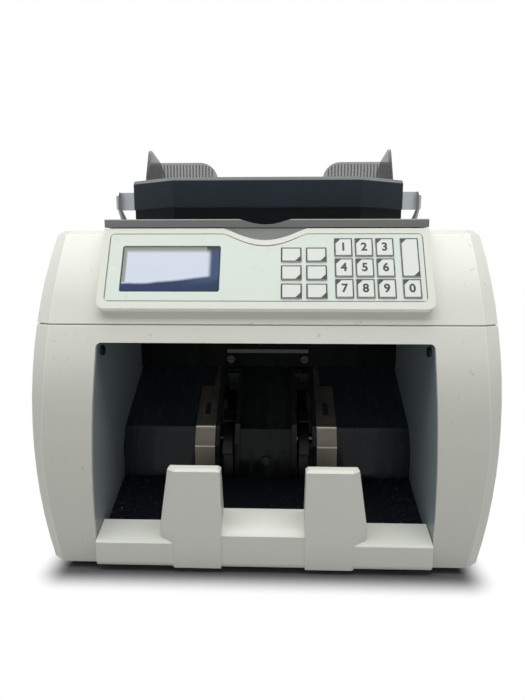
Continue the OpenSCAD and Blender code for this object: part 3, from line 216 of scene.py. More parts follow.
class Finish:
    def __init__(self, name, color, roughness, **shader):
        self.material = bpy.data.materials.new(name)
        self.material.use_nodes = True
        self.tree = self.material.node_tree
        self.shader = self.tree.nodes["Principled BSDF"]
        self.put("Base Color", (*color, 1))
        self.put("Roughness", roughness)
        for socket, value in shader.items():
            self.put(socket.replace("_", " "), value)
        self.place = self.node("ShaderNodeTexCoord", output="Object")

    def put(self, socket, value):
        feed(self.tree, self.shader.inputs[socket], value)

    def node(self, kind, settings=(), inputs=(), output=0):
        made = self.tree.nodes.new(kind)
        for setting, value in dict(settings).items():
            setattr(made, setting, value)
        for socket, value in dict(inputs).items():
            feed(self.tree, made.inputs[socket], value)
        return Wire(self.tree, made.outputs[output])

    def noise(self, scale, detail=3, roughness=0.55, stretch=None):
        place = self.place
        if stretch:
            place = self.node("ShaderNodeMapping", {}, {"Vector": place, "Scale": stretch})
        return self.node("ShaderNodeTexNoise", {}, {
            "Vector": place, "Scale": scale, "Detail": detail, "Roughness": roughness})

    def component(self, vector, axis):
        return self.node("ShaderNodeSeparateXYZ", {}, {0: vector}, "xyz".index(axis))

    def axis(self, name):
        return self.component(self.place, name)

    def facing(self, name):
        # how far the surface looks along one of the object's own axes
        return self.component(self.node("ShaderNodeTexCoord", output="Normal"), name)

    def soft(self, value, low, high):
        # 0 at low and 1 at high, smooth between; low may be the larger of the two
        return self.node("ShaderNodeMapRange", {"interpolation_type": "SMOOTHSTEP"}, {
            "Value": value, "From Min": low, "From Max": high})

    def spread(self, value, low, high, first=0.0, last=1.0):
        # a grey that runs straight from first at low to last at high
        made = self.tree.nodes.new("ShaderNodeValToRGB")
        for element, place, grey in zip(made.color_ramp.elements, (low, high), (first, last)):
            element.position = place
            element.color = (grey, grey, grey, 1)
        feed(self.tree, made.inputs[0], value)
        return Wire(self.tree, made.outputs[0])

    def mix(self, share, first, second):
        # colours are tuples or wires
        made = self.tree.nodes.new("ShaderNodeMix")
        made.data_type = "RGBA"
        for slot, value in ((0, share), (6, first), (7, second)):
            feed(self.tree, made.inputs[slot], (*value, 1) if isinstance(value, tuple) else value)
        return Wire(self.tree, made.outputs[2])

    def bump(self, height, distance, strength=1.0):
        self.put("Normal", self.node("ShaderNodeBump", {}, {
            "Height": height, "Distance": distance, "Strength": strength}))

    def drift(self):
        return self.noise(grainSet["drift"], 4)

    def scuffs(self):
        return self.spread(self.noise(grainSet["scuff"], 8, 0.7), 0.62, 0.72)

    def varyGloss(self, swing, least):
        self.put("Roughness", self.noise(grainSet["gloss"], 5) * swing + least)


def shaded(color, factor):
    return tuple(min(1, channel * factor) for channel in color)


def mouldedPlastic(name, color, roughness=0.45, grain=grainSet["spark"], grainDepth=grainSet["sparkDepth"],
        tone=0.05, wear=0.0, upward=1, **shader):
    # fine spark texture, slow tone drift and slightly varied gloss, and painted light on faces that look up
    # when upward is not 1
    finish = Finish(name, color, roughness, **shader)
    shade = finish.mix(finish.drift(), shaded(color, 1 - tone), shaded(color, 1 + tone))
    # painted light: faces that look up are made lighter or darker by the factor upward
    if upward != 1:
        shade = finish.mix(finish.soft(finish.facing("z"), 0.2, 0.8), shade, shaded(color, upward))
    if wear:
        shade = finish.mix(finish.scuffs() * wear, shade, shaded(color, 0.62))
    finish.put("Base Color", shade)
    finish.varyGloss(0.16, roughness - 0.08)
    finish.bump(finish.noise(grain, 2), grainDepth, 0.35)
    return finish.material


casingSet = {"lowShadeFull": 0.105, "lowShadeEnd": 0.16, "lowShadeWave": 0.02, "lowShade": 0.79, "tone": 0.03,
    "dustFrom": 0.55, "dustTo": 0.95, "dusty": 0.62, "scuffed": 0.55, "scuffs": 0.1, "specks": 0.45}


def casingShell(name, color):
    # moulded casing: painted shade towards the table, and dusty where it looks up
    finish = Finish(name, color, 0.42)
    drift = finish.drift()
    tone = casingSet["tone"]
    shade = finish.mix(drift, shaded(color, 1 - tone), shaded(color, 1 + tone))
    # painted shade: the casing is darker below a wavy height, towards the table
    height = finish.axis("z") + drift * casingSet["lowShadeWave"]
    unshaded = finish.soft(height, casingSet["lowShadeFull"], casingSet["lowShadeEnd"])
    lowShade = casingSet["lowShade"]
    lowShaded = finish.mix(drift, shaded(color, lowShade - tone), shaded(color, lowShade + tone))
    shade = finish.mix(unshaded, lowShaded, shade)
    upward = finish.soft(finish.facing("z"), casingSet["dustFrom"], casingSet["dustTo"])
    dust = upward * (finish.noise(25, 6, 0.6) * 0.5 + 0.7)
    shade = finish.mix(dust.smaller(1), shade, shaded(color, casingSet["dusty"]))
    specks = finish.spread(finish.noise(260, 2, 0.4), 0.715, 0.75)
    marks = finish.scuffs() * casingSet["scuffs"] + specks * casingSet["specks"]
    shade = finish.mix(marks, shade, shaded(color, casingSet["scuffed"]))
    finish.put("Base Color", shade)
    finish.varyGloss(0.16, 0.34)
    finish.bump(finish.noise(grainSet["spark"], 2), grainSet["sparkDepth"], 0.35)
    return finish.material


def rolledSteel(name, color, roughness, stretch=(1, 40, 1), stain=0.3):
    finish = Finish(name, color, roughness, Metallic=1.0)
    streak = finish.noise(60, 6, 0.6, stretch=stretch)
    blotch = finish.spread(finish.noise(28, 5), 0.4, 0.7)
    shade = finish.mix(streak, shaded(color, 0.88), shaded(color, 1.08))
    finish.put("Base Color", finish.mix(blotch * stain, shade, shaded(color, 0.6)))
    finish.put("Roughness", streak * 0.22 + (roughness - 0.1))
    finish.bump(streak, 0.00002, 0.4)
    return finish.material


dustColor = (0.2, 0.2, 0.19)


def rubberCoat(name, color, roughness=0.75):
    finish = Finish(name, color, roughness)
    dust = finish.spread(finish.noise(140, 7, 0.65), 0.5, 0.75)
    finish.put("Base Color", finish.mix(dust * 0.35, color, dustColor))
    finish.bump(finish.noise(900, 3), 0.0001, 0.5)
    return finish.material


polishSet = {"haze": (0.16, 0.15, 0.13), "speck": (0.3, 0.29, 0.26), "footTop": 0.071, "footLow": 0.062,
    "foot": 0.6}
sensorSet = {"half": 0.009, "low": 0.03, "high": 0.0362, "color": (0.045, 0.045, 0.025)}


def polishedBlack(name, color, roughness, dust=0.12, sensor=None, **shader):
    # moulded gloss with fine swirls and paper dust on it, a dusty sensor plate where one is let in, and
    # painted shade towards its foot
    finish = Finish(name, color, roughness, **shader)
    streaks = finish.spread(finish.noise(110, 5, 0.6, stretch=(1, 0.2, 0.06)), 0.45, 0.7)
    haze = finish.spread(finish.noise(40, 8, 0.7), 0.45, 0.8).larger(streaks * 0.7)
    specks = finish.spread(finish.noise(1500, 2, 0.5), 0.7, 0.76)
    dusty = finish.mix(haze * dust, color, polishSet["haze"])
    shade = finish.mix(specks * (2 * dust), dusty, polishSet["speck"])
    if sensor:
        z = finish.axis("z")
        across = finish.axis("x").size().below(sensor["half"])
        plate = across * z.above(sensor["low"]) * z.below(sensor["high"])
        shade = finish.mix(plate * (finish.noise(160, 6, 0.7) * 0.9 + 0.1), shade, sensor["color"])
    # painted shade towards the foot, standing in for the dark floor of the pocket that it looks at
    foot = finish.soft(finish.axis("z"), polishSet["footTop"], polishSet["footLow"])
    finish.put("Base Color", finish.mix(foot * polishSet["foot"], shade, (0, 0, 0)))
    finish.put("Roughness", haze * 0.2 + streaks * 0.25 + roughness)
    finish.bump(finish.noise(30, 2), 0.0003, 0.08)
    return finish.material


gateSet = {"dust": (0.125, 0.13, 0.13), "shadeTop": 0.2196, "line": 0.22, "highlightHalf": 0.0003,
    "lineColor": (0.12, 0.13, 0.14)}


def gateBarPlastic(name, color):
    # dark front with a scuffed, dusty upper side, painted shade on the lower body, and a painted highlight
    # in a thin pale line between
    finish = Finish(name, color, 0.42, Specular_IOR_Level=0.1)
    drift = finish.noise(22, 5)
    shade = finish.mix(drift, shaded(color, 0.75), shaded(color, 1.3))
    scuff = finish.spread(finish.noise(grainSet["scuff"], 8, 0.7, stretch=(1, 1, 4)), 0.6, 0.74)
    shade = finish.mix(scuff * 0.45, shade, shaded(color, 2.8))
    upward = finish.soft(finish.facing("z"), 0.25, 0.7)
    shade = finish.mix(upward * (drift * 0.4 + 0.7), shade, gateSet["dust"])
    z = finish.axis("z")
    # painted shade: the lower body, below the step, is made much darker
    shade = finish.mix(z.below(gateSet["shadeTop"]), shade, shaded(color, 0.25))
    # painted highlight: a thin pale line along the step
    line = z.near(gateSet["line"], gateSet["highlightHalf"])
    finish.put("Base Color", finish.mix(line * 0.5, shade, gateSet["lineColor"]))
    finish.put("Roughness", drift * 0.2 + 0.34)
    finish.bump(finish.noise(1100, 2), 0.00006, 0.35)
    return finish.material


stripSet = {"footTop": 0.069, "footLow": 0.066, "upperBend": (0.0681, 0.0006), "lowerBend": (0.0555, 0.0005),
    "shadeLow": 0.104, "shadeHigh": 0.106, "bendHighlight": (0.6, 0.58, 0.53)}


def brushedStrip(name, color):
    # rolled steel rubbed by notes, with painted highlights in lines where it bends, and painted shade above
    # and towards its foot
    finish = Finish(name, color, 0.4, Metallic=0.85)
    streak = finish.noise(45, 6, 0.7, stretch=(6, 1, 1))
    blotch = finish.spread(finish.noise(55, 6, 0.7), 0.38, 0.66)
    shade = finish.mix(streak, shaded(color, 0.7), shaded(color, 1.2))
    shade = finish.mix(blotch * 0.6, shade, shaded(color, 0.42))
    z = finish.axis("z")
    # painted shade: darker towards the foot
    shade = finish.mix(finish.soft(z, stripSet["footTop"], stripSet["footLow"]), shade, shaded(color, 0.45))
    # painted highlights: bright lines along the two bends
    bendHighlights = z.near(*stripSet["upperBend"]).larger(z.near(*stripSet["lowerBend"]))
    shade = finish.mix(bendHighlights * 0.7, shade, stripSet["bendHighlight"])
    # painted shade: the part above is made nearly black
    top = finish.soft(z, stripSet["shadeLow"], stripSet["shadeHigh"])
    finish.put("Base Color", finish.mix(top, shade, shaded(color, 0.16)))
    finish.put("Roughness", streak * 0.25 + 0.34)
    finish.bump(streak, 0.00003, 0.5)
    return finish.material


casingPlastic = casingShell("casing_plastic", (0.70, 0.705, 0.635))
# a paler copy for the casing's rounded edges: painted highlight
casingEdgeHighlight = casingShell("casing_edge_highlight", (0.84, 0.845, 0.765))
framePlastic = mouldedPlastic("frame_plastic", (0.76, 0.78, 0.70), 0.4, tone=0.02, wear=0.04)
# a paler copy for the bezel's rounded edges: painted highlight
frameEdgeHighlight = mouldedPlastic("frame_edge", (0.86, 0.88, 0.80), 0.35, tone=0.03, wear=0.04)
# the tray's upward faces are painted lighter: a painted highlight
trayPlastic = mouldedPlastic("tray_plastic", (0.59, 0.604, 0.55), 0.36, tone=0.03, wear=0.14, upward=1.22)
# a paler copy for the tray's rounded edges: painted highlight, with scuffs of wear
trayEdgeHighlight = mouldedPlastic("tray_edge_highlight", (0.78, 0.795, 0.72), 0.36, tone=0.06, wear=0.3)
linerPlastic = mouldedPlastic("liner_plastic", (0.22, 0.265, 0.28), 0.38, tone=0.12, wear=0.3)
# the lip's upward faces are painted darker: painted shade
lipPlastic = mouldedPlastic("lip_plastic", (0.2, 0.21, 0.2), 0.5, grain=700, grainDepth=0.00018, tone=0.2,
    wear=0.25, upward=0.66)
gatePlastic = gateBarPlastic("gate_plastic", (0.028, 0.037, 0.048))
darkPlastic = mouldedPlastic("dark_plastic", (0.018, 0.018, 0.02), 0.4, tone=0.2)
wheelPlastic = mouldedPlastic("wheel_plastic", (0.01, 0.01, 0.012), 0.4, tone=0.2, Specular_IOR_Level=0.25)
pinionPlastic = mouldedPlastic("pinion_plastic", (0.7, 0.7, 0.62), 0.4, tone=0.03)
glossBlack = polishedBlack("gloss_black", (0.024, 0.036, 0.043), 0.09, Specular_IOR_Level=0.16)
centreBlack = polishedBlack("centre_black", (0.018, 0.024, 0.027), 0.14, 0.2, sensorSet,
    Specular_IOR_Level=0.12)
satinBlack = polishedBlack("satin_black", (0.003, 0.004, 0.005), 0.42, 0.03, Specular_IOR_Level=0.05)
zincSteel = rolledSteel("zinc_steel", (0.42, 0.445, 0.465), 0.36)
shaftSteel = rolledSteel("shaft_steel", (0.55, 0.56, 0.57), 0.22, stretch=(30, 1, 1), stain=0.1)
stripSteel = brushedStrip("strip_steel", (0.36, 0.325, 0.265))
blackenedSteel = rolledSteel("blackened_steel", (0.04, 0.043, 0.045), 0.5)
brassMetal = rolledSteel("brass_metal", (0.55, 0.42, 0.2), 0.35)
blackRubber = rubberCoat("black_rubber", (0.012, 0.012, 0.013))
rollerRubber = rubberCoat("roller_rubber", (0.03, 0.03, 0.034), 0.6)

smokeSet = {"footTop": 0.262, "footLow": 0.225, "foot": 0.12, "side": 0.42, "least": 0.43}


def smokyPlastic(name, color):
    # see-through smoked acrylic, denser towards its foot and on its sides
    finish = Finish(name, color, 0.2, Specular_IOR_Level=0.4)
    drift = finish.noise(30, 4)
    foot = finish.soft(finish.axis("z"), smokeSet["footTop"], smokeSet["footLow"])
    sides = finish.facing("x").size()
    finish.put("Base Color", finish.mix(drift, shaded(color, 0.85), shaded(color, 1.2)))
    finish.put("Alpha", drift * 0.1 + foot * smokeSet["foot"] + sides * smokeSet["side"] + smokeSet["least"])
    finish.bump(finish.noise(300, 3), 0.00005, 0.3)
    return finish.material


pileSet = {"sideFrom": 0.07, "sideTo": 0.098, "frontFrom": -0.1, "frontTo": -0.118, "depth": 0.0012}


def floorPile(name, color):
    # short black pile with lint caught in it, most of it along the sides and the front
    finish = Finish(name, color, 0.95, Specular_IOR_Level=0.1)
    lint = finish.spread(finish.noise(420, 10, 0.8), 0.56, 0.66)
    patch = finish.spread(finish.noise(60, 4), 0.42, 0.6)
    sides = finish.soft(finish.axis("x").size(), pileSet["sideFrom"], pileSet["sideTo"])
    edges = sides.larger(finish.soft(finish.axis("y"), pileSet["frontFrom"], pileSet["frontTo"]))
    caught = lint * (patch * 0.35 + edges * 0.5)
    finish.put("Base Color", finish.mix(caught, color, dustColor))
    finish.bump(finish.noise(1300, 6, 0.8), pileSet["depth"], 0.9)
    return finish.material


boardSet = {"lacquer": (0.01, 0.09, 0.04), "track": (0.06, 0.2, 0.08), "tracks": 180}


def circuitBoard(name):
    finish = Finish(name, boardSet["lacquer"], 0.35)
    edges = finish.node("ShaderNodeTexVoronoi", {"feature": "DISTANCE_TO_EDGE"}, {
        "Vector": finish.place, "Scale": boardSet["tracks"]})
    tracks = finish.spread(edges, 0.02, 0.05, 1.0, 0.0)
    finish.put("Base Color", finish.mix(tracks * 0.6, boardSet["lacquer"], boardSet["track"]))
    finish.bump(tracks, 0.0001, 0.4)
    return finish.material


smokyGuide = smokyPlastic("smoky_guide", (0.062, 0.068, 0.07))
blackPile = floorPile("black_pile", (0.006, 0.008, 0.013))
greenBoard = circuitBoard("green_board")
keyFilm = mouldedPlastic("key_film", (0.78, 0.81, 0.77), 0.3, tone=0.02, grainDepth=0.00002)
printInk = mouldedPlastic("print_ink", (0.04, 0.045, 0.042), 0.5, tone=0.2)
varnish = mouldedPlastic("varnish", (0.32, 0.27, 0.13), 0.3, tone=0.2)

filmSet = {"half": 0.0967, "low": 0.0048, "high": 0.0502, "notchHalf": 0.026, "notchDepth": 0.0084,
    "notchCurve": 1.3, "line": 0.0006, "lineColor": (0.12, 0.13, 0.12)}


def overlayFilm(name, color):
    # printed film with a dark line where it meets its frame, which follows the thumb notch; the line is
    # partly a printed edge and partly painted shade in the gap
    finish = Finish(name, color, 0.28)
    x = finish.axis("x")
    up = finish.axis("z") * (1 / math.cos(panelTilt)) - panelSet["low"][2] / math.cos(panelTilt)
    inNotch = (1 - (x * (1 / filmSet["notchHalf"])).power(2)).larger(0)
    hollow = inNotch.power(filmSet["notchCurve"]) * filmSet["notchDepth"]
    side = filmSet["half"] - x.size()
    rim = side.smaller(up - filmSet["low"]).smaller(filmSet["high"] - hollow - up)
    shade = finish.mix(finish.noise(9, 3), shaded(color, 0.97), shaded(color, 1.03))
    # the dark rim line: printed edge and painted shade of the gap
    finish.put("Base Color", finish.mix(finish.soft(rim, filmSet["line"], 0.0), shade, filmSet["lineColor"]))
    finish.varyGloss(0.12, 0.22)
    finish.bump(finish.noise(grainSet["spark"], 2), 0.00002, 0.3)
    return finish.material


panelFilm = overlayFilm("panel_film", (0.73, 0.81, 0.735))

# the display window: its place across and up the panel in metres, and its field in shares of its size
displaySet = {"left": -0.0883, "right": -0.0273, "low": 0.011, "high": 0.042,
    "crestStart": 0.2, "crestRise": 0.26, "crestCurve": 1.3, "crestLeast": 0.13, "ripple": 0.05,
    "marginEnd": 0.86, "rimAcross": 0.012, "rimUp": 0.025,
    "glare": ((0.62, 0.68, 0.82), (0.76, 0.81, 0.90)), "blue": ((0.022, 0.04, 0.15), (0.022, 0.038, 0.085)),
    "glow": (0.05, 0.09, 0.19), "shadedMargin": (0.33, 0.34, 0.32), "shadow": (0.06, 0.065, 0.085),
    "rim": (0.03, 0.035, 0.04)}


def displayWindow(name):
    # painted reflection: a pale field of glare on the glass, over blue that shows along its right and in a
    # wave below, with a painted glow, painted shade and a painted shadow at its edges
    finish = Finish(name, (0.2, 0.28, 0.6), 0.14, Specular_IOR_Level=0.35)
    low = panelSet["low"][2] + displaySet["low"] * math.cos(panelTilt)
    high = panelSet["low"][2] + displaySet["high"] * math.cos(panelTilt)
    across = (finish.axis("x") - displaySet["left"]) * (1 / (displaySet["right"] - displaySet["left"]))
    up = (finish.axis("z") - low) * (1 / (high - low))
    ripple = finish.node("ShaderNodeTexNoise", {"noise_dimensions": "1D"}, {"W": across * 4, "Scale": 1.0})
    rise = (across - displaySet["crestStart"]).larger(0).power(displaySet["crestCurve"])
    crest = rise * displaySet["crestRise"] + ripple * displaySet["ripple"] + displaySet["crestLeast"]
    bands = finish.noise(160, 3, stretch=(0.05, 1, 1))
    # painted reflection: the pale glare on the glass
    glare = finish.mix(bands, *displaySet["glare"])
    blue = finish.mix(across, *displaySet["blue"])
    # painted glow: lighter blue below the glare on the right
    glow = finish.soft(across, 0.5, 0.9) * finish.soft(crest - up, 0.2, 0.0)
    inField = finish.soft(up - crest, -0.02, 0.05) * finish.soft(across, 0.92, 0.865)
    field = finish.mix(inField, finish.mix(glow, blue, displaySet["glow"]), glare)
    # painted shade along the top and left of the glare
    shadedMargin = finish.soft(up, 0.82, 0.92).larger(finish.soft(across, 0.06, 0.035) * up.above(0.2))
    field = finish.mix(shadedMargin * across.below(displaySet["marginEnd"]), field, displaySet["shadedMargin"])
    # painted shadow in the top right corner
    shadowed = finish.soft(up, 0.8, 0.95) * across.above(displaySet["marginEnd"])
    field = finish.mix(shadowed, field, displaySet["shadow"])
    inAcross = across.above(displaySet["rimAcross"]) * across.below(1 - displaySet["rimAcross"])
    inFrame = inAcross * up.above(displaySet["rimUp"]) * up.below(1 - displaySet["rimUp"])
    finish.put("Base Color", finish.mix(inFrame, displaySet["rim"], field))
    finish.put("Roughness", bands * 0.1 + 0.1)
    return finish.material


print("materials made")

# CAD nodes with their finish: the material, then the radius, segments, least angle and own paler material, a
# painted highlight, of the edges where they are rounded
nodeFinishes = {
    "lower_casing": (casingPlastic, 0.0009, 3, 15, casingEdgeHighlight),
    "upper_casing": (casingPlastic, 0.0009, 3, 15, casingEdgeHighlight),
    "rear_cover": (casingPlastic, 0.0004, 2),
    "panel_bezel": (framePlastic, 0.0009, 3, 30, frameEdgeHighlight),
    "hopper_tray": (lipPlastic, 0.0006, 2),
    "front_tray": (trayPlastic, 0.0009, 3, 24, trayEdgeHighlight),
    "feed_gate": (gatePlastic, 0.0009, 3),
    "gate_yoke": (zincSteel, 0.0003, 2),
    "side_frame_left": (zincSteel,),
    "side_frame_right": (zincSteel,),
    "base_pan": (zincSteel, 0.0004, 2),
    "rubber_feet": (blackRubber, 0.0012, 3),
    "pocket_wall_left": (linerPlastic, 0.0004, 2),
    "pocket_wall_right": (linerPlastic, 0.0004, 2),
    "back_guide_left": (glossBlack, 0.0006, 3),
    "back_guide_right": (glossBlack, 0.0006, 3),
    "centre_guide": (centreBlack,),
    "cross_housing": (satinBlack, 0.0006, 3),
    "steel_strips": (stripSteel, 0.0001, 2),
    "pocket_floor": (blackPile, 0.0005, 2),
    "screws": (blackenedSteel, 0.0002, 2),
    "guide_left": (smokyGuide, 0.0005, 2),
    "guide_right": (smokyGuide, 0.0005, 2),
    "guide_pinion": (pinionPlastic,),
    "main_board": (greenBoard,),
    "key_board": (greenBoard,),
    "power_supply": (varnish, 0.0008, 2),
    "drive_motor": (shaftSteel, 0.0008, 3),
    "motor_pulley": (shaftSteel,),
    "power_inlet": (darkPlastic, 0.0005, 2),
    "power_switch": (darkPlastic, 0.0006, 3),
    "shaft_bearings": (brassMetal, 0.0003, 2),
    "drive_belts": (blackRubber,),
    "retard_rollers": (rollerRubber, 0.0004, 2),
    "pickup_shaft": (shaftSteel, 0.0003, 2),
    "pickup_rollers": (rollerRubber, 0.0006, 3),
    "feed_shaft": (shaftSteel, 0.0003, 2),
    "feed_rollers": (rollerRubber, 0.0006, 3),
    "stacker_shaft": (shaftSteel, 0.0003, 2),
    "stacker_wheels": (wheelPlastic, 0.0004, 2),
    "gap_knob": (darkPlastic, 0.0005, 3),
    "panel_overlay": (panelFilm,),
}
for node, finishOfNode in nodeFinishes.items():
    finishNode(node, *finishOfNode)
    print("finished", node)
finishNode("lcd_module", displayWindow("display_window"))

# keys with their printed rim, corner marks and figures
keyPrint = {"rim": 0.00055, "lift": 0.00003, "thick": 0.00006, "corner": 0.0030, "figure": 0.0075,
    "bold": 0.00025, "flat": 0.25, "edge": 0.0004}


def keyFace(node):
    # the key's extent across and up the panel, and how far its face stands out
    low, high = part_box(node)
    bottom, top = span(node, panelUp)
    rise = panelLow.dot(panelUp)
    return low[0], high[0], bottom - rise, top - rise, span(node, panelOut)[1] - panelLow.dot(panelOut)


def placeOnPanel(piece, lift):
    # from flat work, x across and y up, to the sloping panel
    turn = Matrix((Vector((1, 0, 0)), panelUp, panelOut)).transposed().to_4x4()
    piece.data.transform(Matrix.Translation(panelLow + panelOut * lift) @ turn)


def flatPlate(name, left, right, bottom, top):
    deselectAll()
    bpy.ops.mesh.primitive_plane_add(size=1, location=((left + right) / 2, (bottom + top) / 2, 0))
    plate = bpy.context.object
    plate.name = name
    plate.scale = (right - left, top - bottom, 1)
    settle(plate)
    return plate


def editAll(piece):
    takeUp(piece)
    bpy.ops.object.mode_set(mode="EDIT")
    bpy.ops.mesh.select_mode(type="FACE")
    bpy.ops.mesh.select_all(action="SELECT")


def frameOf(plate, width):
    editAll(plate)
    bpy.ops.mesh.inset(thickness=width)
    bpy.ops.mesh.delete(type="FACE")
    leaveEdit()
    return plate


def cornerMark(name, x, up, towards):
    # a printed triangle in a key's corner, its long side facing the key's middle
    reach = keyPrint["corner"]
    spots = sorted((x, x + towards[0] * reach)), sorted((up, up + towards[1] * reach))
    mark = flatPlate(name, *spots[0], *spots[1])
    middle = (x + towards[0] * reach / 2, up + towards[1] * reach / 2, 0)
    editAll(mark)
    bpy.ops.mesh.bisect(plane_co=middle, plane_no=(*towards, 0), clear_outer=True)
    leaveEdit()
    return mark


def figure(name, text, x, up):
    deselectAll()
    bpy.ops.object.text_add(location=(x, up, 0))
    made = bpy.context.object
    made.name = name
    made.data.body = text
    made.data.size = keyPrint["figure"]
    made.data.align_x = "CENTER"
    made.data.align_y = "CENTER"
    made.data.bevel_depth = keyPrint["bold"]
    made.data.bevel_resolution = 0
    bpy.ops.object.convert(target="MESH")
    made = bpy.context.object
    made.scale = (1, 1, keyPrint["flat"])
    settle(made)
    return made


def joined(name, pieces):
    deselectAll()
    for piece in pieces:
        piece.select_set(True)
    bpy.context.view_layer.objects.active = pieces[0]
    bpy.ops.object.join()
    bpy.context.object.name = name
    return bpy.context.object


def inkLayer(piece):
    # a printed layer with a little thickness
    solid = piece.modifiers.new("ink", "SOLIDIFY")
    solid.thickness = keyPrint["thick"]
    solid.offset = 1
    applyModifiers(piece)
    return piece


def dressKey(node):
    finishNode(node, keyFilm, keyPrint["edge"], 3)
    left, right, bottom, top, out = keyFace(node)
    rim = keyPrint["rim"]
    forFunction = node.startswith("key_function")
    marks = [frameOf(flatPlate(node + "_rim", left, right, bottom, top), rim)]
    if not forFunction:
        marks.append(cornerMark(node + "_upper", left + rim, top - rim, (1, -1)))
    if node == "key_clear" or forFunction:
        marks.append(cornerMark(node + "_lower", right - rim, bottom + rim, (-1, 1)))
    made = inkLayer(joined(node + "_print", marks))
    if node[-1].isdigit() and not forFunction:
        digit = figure(node + "_figure", node[-1], (left + right) / 2, (bottom + top) / 2)
        made = joined(node + "_print", [made, digit])
    placeOnPanel(made, out + keyPrint["lift"])
    dress(made, printInk)
    addTo(made, node)


for node in sorted(nodes):
    if node.startswith("key_") and node != "key_board":
        dressKey(node)
print("keys printed")

# upright ribs on the backs of the note guides' stop walls
ribSet = {"pitch": 0.0029, "wide": 0.0012, "deep": 0.0005, "wall": 0.0605, "corner": 0.016, "foot": 0.2285,
    "top": 0.2687, "back": 0.0745, "edge": 0.0002}
ribTall = ribSet["top"] - ribSet["foot"]


def firstRib():
    deselectAll()
    bpy.ops.mesh.primitive_cube_add(size=1, location=(0, 0, ribTall / 2))
    rib = bpy.context.object
    rib.name = "guide_rib"
    rib.scale = (ribSet["wide"], ribSet["deep"], ribTall)
    settle(rib)
    roundEdges(rib, ribSet["edge"], 2)
    return rib


def ribBank(node, side, pattern):
    # side is 1 for the right guide and -1 for the left; ribs get shorter in the wall's round corner
    low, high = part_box(node)
    outer = high[0] if side > 0 else -low[0]
    ribs = []
    for place in range(1, int(ribSet["wall"] / ribSet["pitch"])):
        inward = place * ribSet["pitch"]
        pastCorner = max(0, ribSet["corner"] - ribSet["wall"] + inward)
        drop = ribSet["corner"] - math.sqrt(ribSet["corner"] ** 2 - pastCorner ** 2)
        rib = bpy.data.objects.new(node + "_rib", pattern.data.copy())
        bpy.context.scene.collection.objects.link(rib)
        foot = (side * (outer - inward), ribSet["back"] + ribSet["deep"] / 2, ribSet["foot"])
        shorten = Matrix.Diagonal((1, 1, (ribTall - drop) / ribTall, 1))
        rib.data.transform(Matrix.Translation(foot) @ shorten)
        ribs.append(rib)
    bank = joined(node + "_ribs", ribs)
    dress(bank, smokyGuide)
    addTo(bank, node)


ribPattern = firstRib()
ribBank("guide_right", 1, ribPattern)
ribBank("guide_left", -1, ribPattern)
bpy.data.objects.remove(ribPattern)
print("guide ribs made")

# floor, light and camera: near the casing's foot the floor is painted dark, a painted shadow, and it turns
# white from near to far outside the foot
stageSet = {"floor": 12.0, "shadowColor": (0.1, 0.1, 0.105), "bounceColor": (0.6, 0.6, 0.6),
    "halves": {"x": 0.116, "y": 0.134}, "near": 0.001, "far": 0.022, "white": (1, 1, 1, 1), "world": 0.24}


def seenDirectly(tree):
    # 1 where the camera looks, also by way of a mirror or glass
    rays = tree.nodes.new("ShaderNodeLightPath")
    camera, mirror, glass = (Wire(tree, rays.outputs[name]) for name in (
        "Is Camera Ray", "Is Glossy Ray", "Is Transmission Ray"))
    return camera.larger(mirror).larger(glass)


def blendShaders(tree, share, first, second, output):
    blend = tree.nodes.new("ShaderNodeMixShader")
    for place, socket in enumerate((share.socket, first, second)):
        tree.links.new(socket, blend.inputs[place])
    tree.links.new(blend.outputs[0], tree.nodes[output].inputs[0])


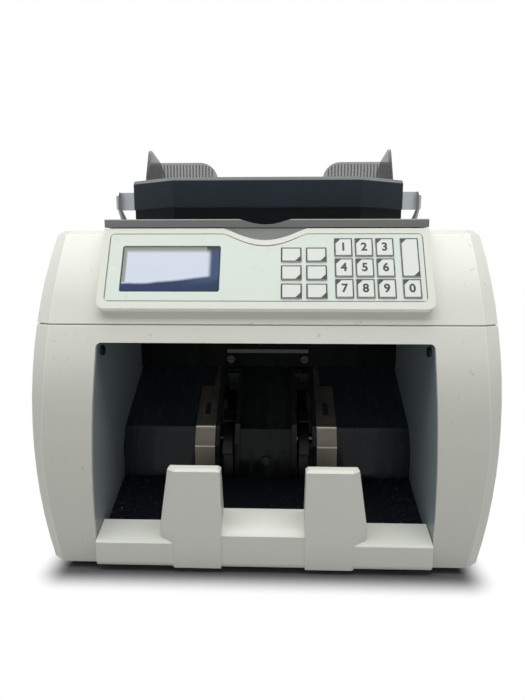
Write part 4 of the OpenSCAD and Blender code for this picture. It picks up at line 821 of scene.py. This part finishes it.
def makeFloor():
    deselectAll()
    bpy.ops.mesh.primitive_plane_add(size=stageSet["floor"])
    floor = bpy.context.object
    floor.name = "floor"
    finish = Finish("floor_paint", stageSet["shadowColor"], 0.7, Specular_IOR_Level=0.2)
    reach = [(finish.axis(name).size() - half).larger(0) for name, half in stageSet["halves"].items()]
    distance = (reach[0] * reach[0] + reach[1] * reach[1]).power(0.5)
    seen = seenDirectly(finish.tree)
    # painted shadow: the camera sees the floor dark here, while bounced light sees it pale
    finish.put("Base Color", finish.mix(seen, stageSet["bounceColor"], stageSet["shadowColor"]))
    white = finish.node("ShaderNodeEmission", {}, {"Color": stageSet["white"], "Strength": 1.0})
    away = finish.soft(distance, stageSet["near"], stageSet["far"]) * seen
    blendShaders(finish.tree, away, finish.shader.outputs[0], white.socket, "Material Output")
    floor.data.materials.append(finish.material)


def makeWorld():
    # soft light all round, and plain white where it is seen
    world = bpy.data.worlds.new("studio")
    bpy.context.scene.world = world
    world.use_nodes = True
    tree = world.node_tree
    light = tree.nodes["Background"]
    shown = tree.nodes.new("ShaderNodeBackground")
    for background, strength in ((light, stageSet["world"]), (shown, 1.0)):
        background.inputs["Color"].default_value = stageSet["white"]
        background.inputs["Strength"].default_value = strength
    blendShaders(tree, seenDirectly(tree), light.outputs[0], shown.outputs[0], "World Output")


lampSet = {"place": (0, 0.05, 1.5), "target": (0, 0.05, 0.1), "size": (2.2, 1.4), "power": 43.0}


def makeLamp():
    data = bpy.data.lights.new("overhead", "AREA")
    data.shape = "RECTANGLE"
    data.size, data.size_y = lampSet["size"]
    data.energy = lampSet["power"]
    lamp = bpy.data.objects.new("overhead", data)
    bpy.context.scene.collection.objects.link(lamp)
    lamp.location = lampSet["place"]
    aim = Vector(lampSet["target"]) - Vector(lampSet["place"])
    lamp.rotation_euler = aim.to_track_quat("-Z", "Y").to_euler()


cameraSet = {"lens": 27.257, "sensor": 36, "nearest": 0.01, "place": (0.0091, -0.424, 0.187), "pitch": 80,
    "turn": 1.84}


def makeCamera():
    data = bpy.data.cameras.new("camera")
    data.lens = cameraSet["lens"]
    data.sensor_width = cameraSet["sensor"]
    data.clip_start = cameraSet["nearest"]
    camera = bpy.data.objects.new("camera", data)
    bpy.context.scene.collection.objects.link(camera)
    camera.location = cameraSet["place"]
    camera.rotation_euler = (math.radians(cameraSet["pitch"]), 0, math.radians(cameraSet["turn"]))
    bpy.context.scene.camera = camera


makeFloor()
makeWorld()
makeLamp()
makeCamera()
bpy.context.scene.view_settings.view_transform = "Standard"
print("stage set")
